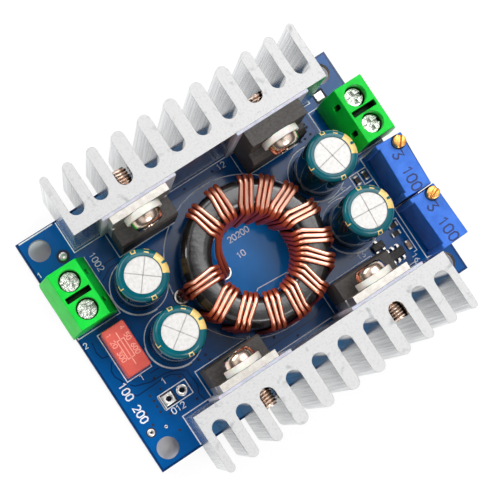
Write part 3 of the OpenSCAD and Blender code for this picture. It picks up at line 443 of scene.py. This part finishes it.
sink_tone = add_node(tree, "ShaderNodeMix", {
    0: on_end.outputs[0], 6: wall_tone, 7: worn_tone.outputs[2]}, data_type="RGBA")
tree.links.new(sink_tone.outputs[2], shader.inputs["Base Color"])
dullness = add_node(tree, "ShaderNodeMapRange", {
    "Value": on_end.outputs[0], "To Min": 0.24, "To Max": 0.6})
tree.links.new(dullness.outputs["Result"], shader.inputs["Roughness"])
for node in ("heatsink_rear", "heatsink_front"):
    softened(node, 0.05, alloy, "extrusion")

# Thermal pads: sheets of silicone rubber filled with mineral powder, cut by hand and trapped
# between package and heatsink. They are soft, slightly see-through and faintly lilac.
silicone, tree, shader = new_finish("mineral-filled silicone sheet", {
    "Roughness": 0.55, "IOR": 1.41, "Subsurface Weight": 0.3, "Subsurface Scale": 0.0006})
sheet_tone = mottled(tree, shader, "#CECEDA", "#B8B8C6", 1.2, 0.02)
# Painted shade: the sheet turns dark grey-lilac in the crevices along the package and the heatsink.
painted_hollow_shade(tree, shader, sheet_tone, "#4C4A58", 0.4, 0.3, 0.55)
CORNERS = ("rear_left", "rear_right", "front_left", "front_right")
for corner in CORNERS:
    softened(f"thermal_pad_{corner}", 0.06, silicone, "silicone")

# Power packages: a tinned copper tab and three legs, stamped as one lead frame, with black epoxy
# moulded round the chip. One package is moulded all over. Each is screwed flat to its heatsink.
# Epoxy moulding compound: matt charcoal with fine filler grain, paler where the mould was etched.
epoxy, tree, shader = new_finish("epoxy moulding compound", {"Roughness": 0.6, "IOR": 1.55})
mottled(tree, shader, "#4A4643", "#332F2D", 0.4, 0.02)
# Tin plate on copper: a soft warm silver, dulled in patches by handling.
plated, tree, shader = new_finish("tin plate on copper", {"Metallic": 1.0, "Roughness": 0.42})
tin_tone = mottled(tree, shader, "#D4D0CA", "#C0BBB4", 0.6, 0.008)
# Painted shade: the tin turns dark brown in the crevices against the bush and the pad.
painted_hollow_shade(tree, shader, tin_tone, "#4A4038", 0.4, 0.3, 0.55)
for corner in CORNERS:
    softened(f"package_{corner}_body", 0.07, epoxy, "mould")
    softened(f"package_{corner}_metal", 0.06, plated, "tinned_metal")

# Insulating bushes: turned-over nylon washers with a collar that keeps each screw off the tab.
# Moulded in natural nylon, so they are creamy, waxy and a little translucent.
nylon, tree, shader = new_finish("natural nylon, moulded", {
    "Roughness": 0.45, "IOR": 1.53, "Subsurface Weight": 0.4, "Subsurface Scale": 0.0008})
waxy_tone = mottled(tree, shader, "#EFECE6", "#E0DAD0", 1.5, 0.015)
# Painted shade: the nylon turns brown in the crevices round the screw head and the tab.
painted_hollow_shade(tree, shader, waxy_tone, "#6A5444", 0.4, 0.3, 0.55)
softened("insulating_bushes", 0.08, nylon, "bush")

# Package screws: pan-head machine screws, steel with a warm nickel plate, run through the bushes
# into the tapped heatsinks. Their threads come out in the slots behind.
# Nickel plate: bright and warm, with painted shade in dark brown down in the threads and the cross.
nickel, tree, shader = new_finish("warm nickel plate on steel", {"Metallic": 1.0, "Roughness": 0.22})
plate_tone = mottled(tree, shader, "#F4E2D4", "#E0C2AC", 1.2, 0.002)
painted_hollow_shade(tree, shader, plate_tone, "#4E2C1E", 0.45, 0.45, 0.85)
shape = bmesh.new()
thread_pitch, thread_r, thread_depth, thread_round, sides = 0.5, 1.5, 0.24, 0.8, 48
rings_a_turn, tip_share, tip_rings = 8, 0.8, 5
head_r, head_h, head_rings, head_eye, head_square = 2.6, 1.75, 28, 0.02, 6
cross_reach, cross_half, cross_depth, reach_ease, half_ease = 1.5, 0.4, 0.9, 0.3, 0.2
low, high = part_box("package_screws")
screw_z = (low.z + high.z) / 2 / MM
profile = []
for i in range(head_rings + 1):
    r = head_eye + (head_r - head_eye) * i / head_rings
    profile.append((r, head_h * max(0, 1 - (r / head_r) ** head_square) ** 0.5))


def step_in(depth, blend):
    """How far a point is inside an edge, from 0 outside to 1 this far in, eased at both ends."""
    t = min(max(depth / blend, 0), 1)
    return t * t * (3 - 2 * t)


for corner, head_y, tip_y, cross_turn in (
    ("rear_left", 12.85, 20.85, 20), ("rear_right", 11.4, 19.4, 35),
    ("front_left", -13.45, -21.45, 10), ("front_right", -13.45, -21.45, 52),
):
    low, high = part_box(f"package_{corner}_body")
    screw_x = (low.x + high.x) / 2 / MM
    out = math.copysign(1, head_y - tip_y)
    rings = round(abs(tip_y - head_y) / thread_pitch * rings_a_turn)
    rows = []
    for r, rise in profile:
        row = []
        for j in range(sides):
            a = math.tau * j / sides
            turn = a - math.radians(cross_turn)
            u, v = r * math.cos(turn), r * math.sin(turn)
            arms = [step_in(cross_half - abs(q), half_ease) * step_in(cross_reach - abs(w), reach_ease)
                    for w, q in ((u, v), (v, u))]
            row.append((r, a, head_y + out * max(rise - cross_depth * max(arms), 0)))
        rows.append(row)
    for i in range(rings + 1):
        run_in = tip_share + (1 - tip_share) * min(1, (rings - i) / tip_rings)
        row = []
        for j in range(sides):
            crest = 0.5 + 0.5 * math.cos(math.tau * (i / rings_a_turn - j / sides))
            r = (thread_r - thread_depth * (1 - crest ** thread_round)) * run_in
            row.append((r, math.tau * j / sides, head_y + (tip_y - head_y) * i / rings))
        rows.append(row)
    rows = [[shape.verts.new(Vector((
        screw_x + r * math.cos(a), y, screw_z + r * math.sin(a))) * MM) for r, a, y in row] for row in rows]
    for a, b in zip(rows, rows[1:]):
        for j in range(sides):
            shape.faces.new((a[j], a[(j + 1) % sides], b[(j + 1) % sides], b[j]))
    shape.faces.new(rows[0])
    shape.faces.new(rows[-1])
bmesh.ops.recalc_face_normals(shape, faces=shape.faces)
new_piece("package_screws_finished", shape, nickel, "fastener", "package_screws")

# Ring core: pressed iron powder, tumbled and dipped in black epoxy paint before it was wound.
# The paint is glossy over a slightly pebbled surface, and the wire has scratched it here and there.
paint, tree, shader = new_finish("black epoxy paint on pressed powder", {"Roughness": 0.16, "IOR": 1.75})
mottled(tree, shader, "#262424", "#141212", 1.6, 0.03)
core_bottom, core_top = core_low.z / MM, core_high.z / MM
core_out = (core_high.x - core_low.x) / 2 / MM
core_in, core_edge = 6.9, 1.5


def bend(r, z, radius, start, end, count=6):
    """Points of a bend in a section, as radius and height in mm, between two angles in degrees."""
    angles = [math.radians(start + (end - start) * i / count) for i in range(count + 1)]
    return [(r + radius * math.cos(a), z + radius * math.sin(a)) for a in angles]


def turned(shape, section, centre, sides=96, closed=False):
    """Adds the surface that a section of (radius, height) points sweeps round an upright axis; in mm."""
    rings = []
    for r, z in section:
        rings.append([shape.verts.new(Vector((
            centre[0] + r * math.cos(math.tau * i / sides), centre[1] + r * math.sin(math.tau * i / sides),
            z)) * MM) for i in range(sides)])
    pairs = zip(rings, rings[1:] + rings[:1]) if closed else zip(rings, rings[1:])
    for a, b in pairs:
        for i in range(sides):
            shape.faces.new((a[i], a[(i + 1) % sides], b[(i + 1) % sides], b[i]))


section = (
    bend(core_out - core_edge, core_bottom + core_edge, core_edge, -90, 0)
    + bend(core_out - core_edge, core_top - core_edge, core_edge, 0, 90)
    + bend(core_in + core_edge, core_top - core_edge, core_edge, 90, 180)
    + bend(core_in + core_edge, core_bottom + core_edge, core_edge, 180, 270))
shape = bmesh.new()
turned(shape, section, coil, sides=144, closed=True)
new_piece("inductor_core_finished", shape, paint, "core", "inductor_core")

# Winding: three enamelled copper wires laid side by side and threaded through the ring by hand, so the
# turns are uneven. Both ends are stripped, tinned and pushed through the board.
# Enamel on copper: a red-brown clear lacquer over bright metal. Each strand has a painted highlight, pale
# cream along its crown, and painted shade, redder down its flanks, set by which way the surface faces; the
# metal's shine follows the same share. The grooves get painted shade in deep red.
copper, tree, shader = new_finish("enamelled copper wire", {
    "Roughness": 0.36, "Specular IOR Level": 0.2})
painted_highlight_copper = mottled(tree, shader, "#FFD8C4", "#F8BEA2", 1.6, 0.004)
facing = add_node(tree, "ShaderNodeTexCoord")
level = add_node(tree, "ShaderNodeSeparateXYZ", {"Vector": facing.outputs["Normal"]})
flank = add_node(tree, "ShaderNodeMapRange", {
    "Value": level.outputs["Z"], "From Min": 0.2, "From Max": 0.8})
crown = add_node(tree, "ShaderNodeMapRange", {
    "Value": level.outputs["Z"], "From Min": 0.8, "From Max": 0.98})
painted_shade_flank_tone = add_node(tree, "ShaderNodeMix", {
    0: flank.outputs["Result"], 6: linear("#B23E28"), 7: linear("#E67E5A")}, data_type="RGBA")
painted_light_copper_tone = add_node(tree, "ShaderNodeMix", {
    0: crown.outputs["Result"], 6: painted_shade_flank_tone.outputs[2], 7: painted_highlight_copper}, data_type="RGBA")
# Painted shade: the grooves between strands turn deep red, where little open sky is near.
painted_hollow_shade(tree, shader, painted_light_copper_tone.outputs[2], "#300A04", 0.8, 0.3, 0.72)
shine = add_node(tree, "ShaderNodeMapRange", {
    "Value": flank.outputs["Result"], "To Min": 0.15, "To Max": 1.0})
tree.links.new(shine.outputs["Result"], shader.inputs["Metallic"])
strand_r = 0.375
wire_off, wire_bend = strand_r + 0.01, 1.3
wire_in, wire_out = core_in - wire_off, core_out + wire_off
wire_low, wire_high = core_bottom - wire_off, core_top + wire_off
# Angles in degrees at which each turn crosses the outer and the inner edge, from the first turn on.
outer_turns = (
    114.4, 92.5, 65.3, 48.7, 29.4, 6.2, -18.9, -38.8, -62.2, -84.7, -106.4, -134, -155.4, -183)
inner_turns = (
    117.9, 94.1, 69.1, 49.8, 32.5, 11.8, -13.9, -35.1, -56.2, -79.6, -105.6, -131.7, -157.4, -185.3)
outer_pitch, inner_pitch = 0.9, 0.79
outer_step, inner_step = math.degrees(outer_pitch / wire_out), math.degrees(inner_pitch / wire_in)
outer_lean, inner_lean = 6.5, 13
# Where turns crowd inside the ring, they share the room and the middle wire is pushed inwards.
crowd_share, crowded_step, pushed_in = 3.1, 6.7, 0.33
slack, slack_side, slack_spread, slack_ease = 0.5, 57, 0.25, 1.5


def on_coil(r, angle, z):
    """A point of the winding in mm, from its radius, angle in degrees and height."""
    a = math.radians(angle)
    return Vector((coil.x + r * math.cos(a), coil.y + r * math.sin(a), z))


def tube(shape, path, radius, sides=10):
    """Adds a round wire along a path of points in mm, with closed ends."""
    rings = []
    side = None
    for i, point in enumerate(path):
        ahead = (path[min(i + 1, len(path) - 1)] - path[max(i - 1, 0)]).normalized()
        side = ahead.orthogonal() if side is None else side - ahead * side.dot(ahead)
        side = side.normalized()
        across = ahead.cross(side)
        rings.append([shape.verts.new((point + radius * (
            math.cos(math.tau * j / sides) * side + math.sin(math.tau * j / sides) * across)) * MM)
            for j in range(sides)])
    for a, b in zip(rings, rings[1:]):
        for j in range(sides):
            shape.faces.new((a[j], a[(j + 1) % sides], b[(j + 1) % sides], b[j]))
    shape.faces.new(rings[0][::-1])
    shape.faces.new(rings[-1])


def flowing(points, steps=6):
    """A smooth path through a few points."""
    path = []
    for i in range(len(points) - 1):
        a, b = points[max(i - 1, 0)], points[i]
        c, d = points[i + 1], points[min(i + 2, len(points) - 1)]
        for t in (j / steps for j in range(steps)):
            path.append(0.5 * (2 * b + (c - a) * t + (2 * a - 5 * b + 4 * c - d) * t ** 2
                               + (3 * b - a - 3 * c + d) * t ** 3))
    path.append(points[-1])
    return path


# Heights in mm of the points where the ends rise from the first hole and drop into the last.
rise_heights, fall_heights = (-1.5, 0.2, 1.8, 3.4), (3, 1.4, 0, -1.5)
start_spread, end_spread, end_middle = 0.48, 0.62, 0.2
start_bow, end_drop, end_bow = Vector((-0.5, 0.3, 0.4)), Vector((-0.02, 0, -2.4)), Vector((0.1, 0, 5.2))
stripped, tin_r = 10, strand_r + 0.02
ends = bmesh.new()
for number, lane in ((1, -1), (2, 0), (3, 1)):
    path = []
    for k, (outer, inner) in enumerate(zip(outer_turns, inner_turns)):
        near = [abs(inner - inner_turns[n]) for n in (k - 1, k + 1) if 0 <= n < len(inner_turns)]
        step = min(inner_step, min(near) / crowd_share)
        reach_in = wire_in - (pushed_in if lane == 0 and step < crowded_step else 0)
        a_in = inner - lane * step
        a_out = outer - lane * outer_step
        inside, outside = reach_in + wire_bend, wire_out - wire_bend
        facing_slack = max(0, math.cos(math.radians(inner - slack_side)))
        loose = slack * (1 + slack_spread * lane) * facing_slack ** slack_ease
        if k:
            path += [on_coil(r, a_in + inner_lean, z)
                     for r, z in bend(inside - loose, wire_low + wire_bend, wire_bend, 270, 180)]
        path += [on_coil(r, a_in, z) for r, z in bend(inside, wire_high - wire_bend, wire_bend, 180, 90)]
        path += [on_coil(r, a_out, z) for r, z in bend(outside, wire_high - wire_bend, wire_bend, 90, 0)]
        if k < len(outer_turns) - 1:
            path += [on_coil(r, a_out - outer_lean, z)
                     for r, z in bend(outside, wire_low + wire_bend, wire_bend, 0, -90)]
    spread = lane * math.tau / 3
    aside = Vector((math.cos(spread), math.sin(spread), 0)) * start_spread
    start = Vector((*start_hole, 0)) + aside
    finish_at = Vector((*end_hole, 0)) + Vector((end_middle * (1 - abs(lane)), -end_spread * lane, 0))
    rise = [start + Vector((0, 0, z)) for z in rise_heights]
    lead_in = flowing(rise + [(rise[-1] + path[0]) / 2 + start_bow, path[0]])
    fall = [path[-1], path[-1] + end_drop, finish_at + end_bow]
    lead_out = flowing(fall + [finish_at + Vector((0, 0, z)) for z in fall_heights])
    shape = bmesh.new()
    tube(shape, lead_in[stripped:-1] + path + lead_out[1:-stripped], strand_r)
    strand = f"winding_strand_{number}"
    new_piece(strand + "_finished", shape, copper, "enamelled_copper", strand)
    tube(ends, lead_in[:stripped + 1], tin_r)
    tube(ends, lead_out[-stripped - 1:], tin_r)
new_piece("winding_tinned_ends", ends, solder, "enamelled_copper")

# Capacitors: drawn aluminium cans, scored on top to open if they overheat, each in a teal plastic
# sleeve that was slipped on and shrunk with heat. The sleeve grips the rim and the rolled groove.
# Etched aluminium: almost white and satin, with a faint drawn grain.
drawn, tree, shader = new_finish("drawn aluminium, satin", {"Metallic": 0.4, "Roughness": 0.5})
mottled(tree, shader, "#E0DEDC", "#D0CECB", 0.5, 0.006)
# Shrunk plastic film: glossy and dark teal over the shoulder and rim, with painted shade down its sides,
# where the tone turns near black as the surface faces sideways.
film, tree, shader = new_finish("shrunk sleeve, printed teal", {
    "Roughness": 0.08, "IOR": 1.54, "Specular IOR Level": 0.35})
film_tone = mottled(tree, shader, "#036470", "#02525E", 3, 0.008)
facing = add_node(tree, "ShaderNodeTexCoord")
level = add_node(tree, "ShaderNodeSeparateXYZ", {"Vector": facing.outputs["Normal"]})
side_shade_share = add_node(tree, "ShaderNodeMapRange", {
    "Value": level.outputs["Z"], "From Min": 0.05, "From Max": 0.6})
sleeve_painted_shade_tone = add_node(tree, "ShaderNodeMix", {
    0: side_shade_share.outputs["Result"], 6: linear("#042C34"), 7: film_tone}, data_type="RGBA")
tree.links.new(sleeve_painted_shade_tone.outputs[2], shader.inputs["Base Color"])
# Printing ink on the film: pale gold, as glossy as the film.
gold, tree, shader = new_finish("pale gold film ink", {"Roughness": 0.22, "IOR": 1.52})
mottled(tree, shader, "#F4D88A", "#E6C06A", 1, 0.006)
can_r, can_foot, shoulder, rim_in = 4.1, 1.6, 0.9, 2.85
can_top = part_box("capacitor_1_sleeve")[1].z / MM


def on_sleeve(reach, lift):
    """A point of the sleeve's section, this far in mm along it from the rim and lifted off it."""
    flat_run = can_r - shoulder - rim_in
    curve_run = shoulder * math.pi / 2
    if reach < flat_run:
        return rim_in + reach, can_top + lift
    if reach < flat_run + curve_run:
        a = math.pi / 2 - (reach - flat_run) / shoulder
        return (can_r - shoulder + (shoulder + lift) * math.cos(a),
                can_top - shoulder + (shoulder + lift) * math.sin(a))
    return can_r + lift, can_top - shoulder - (reach - flat_run - curve_run)


def patch(shape, centre, a0, a1, s0, s1, lift):
    """Adds a printed patch on a sleeve between two angles and two reaches from the rim."""
    across = max(2, round(abs(a1 - a0) / 3))
    along = max(3, round(min(s1 - s0, 3) / 0.2))
    rows = []
    for i in range(along + 1):
        r, z = on_sleeve(s0 + (s1 - s0) * i / along, lift)
        angles = [math.radians(a0 + (a1 - a0) * j / across) for j in range(across + 1)]
        rows.append([shape.verts.new(Vector((
            centre[0] + r * math.cos(a), centre[1] + r * math.sin(a), z)) * MM) for a in angles])
    for a, b in zip(rows, rows[1:]):
        for j in range(across):
            shape.faces.new((a[j], b[j], b[j + 1], a[j + 1]))


# Each mark is a few bars, given by two angles from the mark's own and two reaches from the rim.
frame_mark = [(-6, -3.5, 0.6, 1.5), (3.5, 6, 0.6, 1.5), (-3.5, 3.5, 0.6, 0.78), (-3.5, 3.5, 1.32, 1.5)]
bar_mark = [(-6, 6, 0.55, 0.75), (-6, 6, 1.2, 1.4)]
corner_mark = [(-6, 6, 1.3, 1.48), (3.5, 6, 0.7, 1.3)]
marks = {81: frame_mark, 49: bar_mark, 178: corner_mark, 264: frame_mark}
# Scored lines: the press that cut them left bare, duller metal in the grooves, and the lines are painted
# darker as painted shade in the grooves.
scored, tree, shader = new_finish("scored aluminium with painted groove shade", {"Metallic": 0.4, "Roughness": 0.6})
mottled(tree, shader, "#C6C4C1", "#B2B0AD", 0.4, 0.004)
vent_turns = {1: 51, 2: 35, 3: 11, 4: 85}
score_depth, score_line, score_end, score_lift = 0.12, 0.15, 0.05, 0.006
print_lift, over_lift = 0.012, 0.022
stripe_half, stripe_start, stripe_bent, stripe_end = 27, 0.12, 3.1, 12.6
rim_minus = (-3.2, 3.2, 0.45, 1.75)
minus_half, minus_long, minus_reaches = 4, 1.3, (4.6, 7.4, 10.2)
# How far the sleeve stands in from its radius, at heights over the board: its foot and the rolled groove.
groove = (
    (0.5, 0), (0.08, 0.05), (0.01, 0.5), (0, 1.2), (0.03, 1.5), (0.2, 1.8), (0.24, 2), (0.2, 2.2),
    (0.03, 2.5), (0, 2.8))
section = (
    [(can_r - inset, can_foot + rise) for inset, rise in groove]
    + bend(can_r - shoulder, can_top - shoulder, shoulder, 0, 90, count=10)
    + [(rim_in + 0.06, can_top), (rim_in, can_top - 0.05), (rim_in, can_top - 0.18)])
for node in range(1, 5):
    dress(drawn, f"capacitor_{node}_can")
    can_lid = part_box(f"capacitor_{node}_can")[1].z / MM
    low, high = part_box(f"capacitor_{node}_sleeve")
    centre = ((low + high) / 2 / MM).xy
    shape = bmesh.new()
    turned(shape, section, centre)
    new_piece(f"capacitor_{node}_sleeve_finished", shape, film, "sleeve", f"capacitor_{node}_sleeve")
    shape = bmesh.new()
    for quarter in (0, 90):
        a = math.radians(vent_turns[node] + quarter)
        reach = Vector((math.cos(a), math.sin(a))) * (rim_in - score_end)
        line = [tuple(centre - reach), tuple(centre + reach)]
        ribbon(shape, line, score_line, can_lid - score_depth + score_lift)
    new_piece(f"capacitor_{node}_score_lines", shape, scored, "can")
    shape = bmesh.new()
    for upper, lower in ((stripe_start, stripe_bent), (stripe_bent, stripe_end)):
        patch(shape, centre, -stripe_half, stripe_half, upper, lower, print_lift)
    for angle, bars in marks.items():
        for a0, a1, s0, s1 in bars:
            patch(shape, centre, angle + a0, angle + a1, s0, s1, print_lift)
    new_piece(f"capacitor_{node}_gold_print", shape, gold, "sleeve")
    shape = bmesh.new()
    patch(shape, centre, *rim_minus, over_lift)
    for reach in minus_reaches:
        patch(shape, centre, -minus_half, minus_half, reach, reach + minus_long, over_lift)
    new_piece(f"capacitor_{node}_minus_marks", shape, film, "sleeve")

# Terminal blocks: green plastic housings moulded open above two wells, pinned into the board.
# In each well a zinc-plated screw draws a stamped cage up to clamp a wire put in from the side.
# Moulded plastic: strong green with a soft sheen, with painted shade that turns it almost black down in its
# wells and slots.
moulded_green, tree, shader = new_finish("green moulded plastic", {
    "Roughness": 0.4, "IOR": 1.5, "Specular IOR Level": 0.18})
green_tone = mottled(tree, shader, "#10DC42", "#0ACC38", 2.5, 0.01)
painted_hollow_shade(tree, shader, green_tone, "#021A04", 2, 0.3, 0.75)
# Zinc plate: a sparkling, slightly greenish silver, rough from the plating barrel.
zinc, tree, shader = new_finish("barrel-plated zinc", {"Metallic": 1.0, "Roughness": 0.24})
mottled(tree, shader, "#F4F4EE", "#AAB2A8", 0.35, 0.1, contrast=0.12)
for side in ("input", "output"):
    softened(f"terminal_{side}_housing", 0.14, moulded_green, "housing")
    dress(tinned, f"terminal_{side}_pins")
    for way in (1, 2):
        softened(f"terminal_{side}_screw_{way}", 0.08, zinc, "clamp", body=f"{side}_screw_{way}")
        dress(zinc, f"terminal_{side}_cage_{way}")

# Trimmers: blue plastic boxes cast full of resin, with a brass screw that turns a worm inside.
# Their value is printed on top, along the box.
# Moulded blue plastic: a clear mid blue with a satin skin. The ink on it is a flat navy.
moulded_blue, tree, shader = new_finish("blue moulded plastic", {
    "Roughness": 0.42, "IOR": 1.5, "Specular IOR Level": 0.3})
mottled(tree, shader, "#3A78DE", "#2C68CE", 2, 0.012)
# Turned brass: warm yellow, bright where the tool cut it last.
brass, tree, shader = new_finish("turned brass", {"Metallic": 1.0, "Roughness": 0.28})
mottled(tree, shader, "#F2BC70", "#D88A3A", 0.7, 0.03)
dark_ink, tree, shader = new_finish("navy pad-printed ink", {"Roughness": 0.5})
mottled(tree, shader, "#122C70", "#0C2058", 0.4, 0.004)
trimmer_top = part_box("trimmer_1_body")[1].z / MM
value_start, value_height, value_stroke = Vector((-0.8, 2.3)), 1.7, 0.27
for number, centre, skew in ((1, (27.65, -1.8), -2.8), (2, (27.85, -11.6), 1.7)):
    softened(f"trimmer_{number}_body", 0.16, moulded_blue, "trimmer_case")
    softened(f"trimmer_{number}_screw", 0.1, brass, "brass_screw", body=f"trimmer_screw_{number}")
    shape = bmesh.new()
    start = Vector(centre) + Matrix.Rotation(math.radians(skew), 2) @ value_start
    numerals(shape, "3 100", start, skew - 90, value_height, value_stroke, trimmer_top + print_lift)
    new_piece(f"trimmer_{number}_value", shape, dark_ink, "trimmer_case")

# Fuse: a fine wire in a moulded box of red plastic that stands on two legs, soldered in like the rest.
# A plain symbol and rows of numbers are pad printed on its lid.
# Moulded red plastic: even, with a soft sheen. The ink on it is thin, so the red shows through.
moulded_red, tree, shader = new_finish("red moulded plastic", {"Roughness": 0.4, "IOR": 1.5})
mottled(tree, shader, "#DA5648", "#CE4A3E", 2, 0.012)
pale_ink, tree, shader = new_finish("pale pad-printed ink", {"Roughness": 0.55})
mottled(tree, shader, "#F3A596", "#E98B7C", 0.4, 0.004)
softened("fuse_body", 0.22, moulded_red, "fuse_case")
low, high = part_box("fuse_body")
fuse = ((low + high) / 2 / MM).xy
print_level = high.z / MM + print_lift
box_x, box_y, lead_y, symbol_line = 0.6, 1.6, 2.9, 0.16
row_top, row_height, row_stroke = 3.3, 0.75, 0.14
shape = bmesh.new()
box = oblong(fuse.x - box_x, fuse.y - box_y, fuse.x + box_x, fuse.y + box_y)
ribbon(shape, box, symbol_line, print_level, closed=True)
ribbon(shape, [(fuse.x, fuse.y - lead_y), (fuse.x, fuse.y + lead_y)], symbol_line, print_level)
for row, row_x in (("1 20 300", -1.6), ("4 50 600", 0.9)):
    numerals(shape, row, (fuse.x + row_x, fuse.y + row_top), -90, row_height, row_stroke, print_level)
new_piece("fuse_symbol", shape, pale_ink, "fuse_case")

# Small parts: ceramic chips with fired tin ends, a six-leg controller and a three-leg transistor.
# They were set in solder paste by machine and reflowed.
# Fired ceramic: dark glaze on the resistors, and a bare brown on the layered capacitor.
ceramic, tree, shader = new_finish("fired ceramic and glaze", {"Roughness": 0.45})
mottled(tree, shader, "#3B332E", "#231E1C", 0.5, 0.01)
layered, tree, shader = new_finish("fired ceramic layers", {"Roughness": 0.5})
mottled(tree, shader, "#C3A18C", "#A5836E", 0.5, 0.01)
chips = softened("chip_bodies", 0.05, ceramic, "chip")
chips.data.materials.append(layered)
layered_from = -12
for face in chips.data.polygons:
    face.material_index = int(face.center.y < layered_from * MM)
softened("chip_ends", 0.05, tinned, "solder")
softened("controller_body", 0.08, epoxy, "mould")
softened("small_transistor_body", 0.08, epoxy, "mould")
dress(tinned, "controller_leads", "small_transistor_leads")

# Floor: a wide white sweep. It takes the shadow, and seen directly it is lifted to white, and less so in
# a shine, apart from the ground below the board, which stays in its shade.
white, tree, shader = new_finish("matt white paper", {"Roughness": 0.9})
mottled(tree, shader, "#F9F9F9", "#F6F6F6", 4, 0.01)
floor_half, floor_lift, shine_share, floor_white = 1.5, 0.85, 0.45, 1.05
rays = add_node(tree, "ShaderNodeLightPath")
place = add_node(tree, "ShaderNodeTexCoord")
reach = add_node(tree, "ShaderNodeVectorMath", {0: place.outputs["Object"]}, operation="ABSOLUTE")
reach = add_node(tree, "ShaderNodeSeparateXYZ", {"Vector": reach.outputs["Vector"]})
past_x = add_node(tree, "ShaderNodeMath", {
    0: reach.outputs["X"], 1: board_high.x}, operation="GREATER_THAN")
past_y = add_node(tree, "ShaderNodeMath", {
    0: reach.outputs["Y"], 1: board_high.y}, operation="GREATER_THAN")
clear = add_node(tree, "ShaderNodeMath", {0: past_x.outputs[0], 1: past_y.outputs[0]}, operation="MAXIMUM")
clear = add_node(tree, "ShaderNodeMath", {0: clear.outputs[0], 1: floor_lift}, operation="MULTIPLY")
seen = add_node(tree, "ShaderNodeMath", {
    0: rays.outputs["Is Glossy Ray"], 1: shine_share, 2: rays.outputs["Is Camera Ray"]},
    operation="MULTIPLY_ADD")
lift = add_node(tree, "ShaderNodeMath", {0: seen.outputs[0], 1: clear.outputs[0]}, operation="MULTIPLY")
glow = add_node(tree, "ShaderNodeEmission", {"Color": (1, 1, 1, 1), "Strength": floor_white})
lifted = add_node(tree, "ShaderNodeMixShader", {
    0: lift.outputs[0], 1: shader.outputs["BSDF"], 2: glow.outputs["Emission"]})
tree.links.new(lifted.outputs["Shader"], tree.nodes["Material Output"].inputs["Surface"])
shape = bmesh.new()
bmesh.ops.create_grid(shape, x_segments=1, y_segments=1, size=floor_half)
bmesh.ops.translate(shape, vec=(0, 0, cad_box[0].z), verts=shape.verts)
mesh = bpy.data.meshes.new("floor")
shape.to_mesh(mesh)
shape.free()
mesh.materials.append(white)
floor = bpy.data.objects.new("floor", mesh)
scene.collection.objects.link(floor)

# Light: a white tent, bright overhead and dark at the sides, with a dim opening where the camera looks in.
# A soft box on the right throws the shadows to the lower left, and a panel near the top glows on the board.
# A strip on the upper left draws bright lines on round edges, and a broad fill lightens the near sides.
world = bpy.data.worlds.new("light tent")
scene.world = world
world.use_nodes = True
tree = world.node_tree
place = add_node(tree, "ShaderNodeTexCoord")
height = add_node(tree, "ShaderNodeSeparateXYZ", {"Vector": place.outputs["Generated"]})
tent = add_node(tree, "ShaderNodeMapRange", {
    "Value": height.outputs["Z"], "From Min": 0.4, "From Max": 0.75, "To Min": 0.1, "To Max": 0.8},
    interpolation_type="SMOOTHSTEP")
opening = Vector((-0.22, 0.02, 1)).normalized()
rim, dark_from = math.cos(math.radians(19)), math.cos(math.radians(16.5))
aim = add_node(tree, "ShaderNodeVectorMath", {
    0: place.outputs["Generated"], 1: opening}, operation="DOT_PRODUCT")
inside = add_node(tree, "ShaderNodeMapRange", {
    "Value": aim.outputs["Value"], "From Min": rim, "From Max": dark_from, "To Min": 1.0, "To Max": 0.1},
    interpolation_type="SMOOTHSTEP")
glow = add_node(tree, "ShaderNodeMath", {
    0: tent.outputs["Result"], 1: inside.outputs["Result"]}, operation="MULTIPLY")
tree.links.new(glow.outputs[0], tree.nodes["Background"].inputs["Strength"])
tree.nodes["Background"].inputs["Color"].default_value = (1, 1, 1, 1)
# Each lamp has a direction from the board, a distance and two sides in metres, and a power in watts.
for name, way, far, width, depth, watts in (
    ("soft_box", (0.62, 0.22, 0.95), 0.55, 0.26, 0.26, 0.6),
    ("top_panel", (0.177, 0.134, 0.6), 0.64, 0.246, 0.29, 0.55),
    ("left_strip", (-0.45, 0.87, 0.75), 0.5, 0.4, 0.1, 0.9),
    ("front_fill", (0.05, -0.75, 1), 0.6, 0.3, 0.3, 1.2),
):
    lamp = bpy.data.lights.new(name, "AREA")
    lamp.shape = "RECTANGLE"
    lamp.size, lamp.size_y = width, depth
    lamp.energy = watts
    lamp_object = bpy.data.objects.new(name, lamp)
    scene.collection.objects.link(lamp_object)
    direction = Vector(way).normalized()
    lamp_object.location = direction * far
    lamp_object.rotation_mode = "QUATERNION"
    lamp_object.rotation_quaternion = direction.to_track_quat("Z", "Y")

# Camera: nearly overhead and turned, as in the photograph, with a long lens. Its place and its right, up
# and backward directions were fitted to the photograph from the sizes of the standard parts.
camera_data = bpy.data.cameras.new("camera")
camera_data.sensor_width = 36
camera_data.lens = 105.378
camera_data.clip_start = 0.01
camera = bpy.data.objects.new("camera", camera_data)
scene.collection.objects.link(camera)
right, up = Vector((0.8276, -0.5498, 0.1130)), Vector((0.5377, 0.8344, 0.1216))
back = Vector((-0.1611, -0.0399, 0.9861))
stand = Vector((-36.96, -8.95, 235.66))
turn = Matrix((right, up, back)).transposed().to_4x4()
camera.matrix_world = Matrix.Translation(stand * MM) @ turn
scene.camera = camera
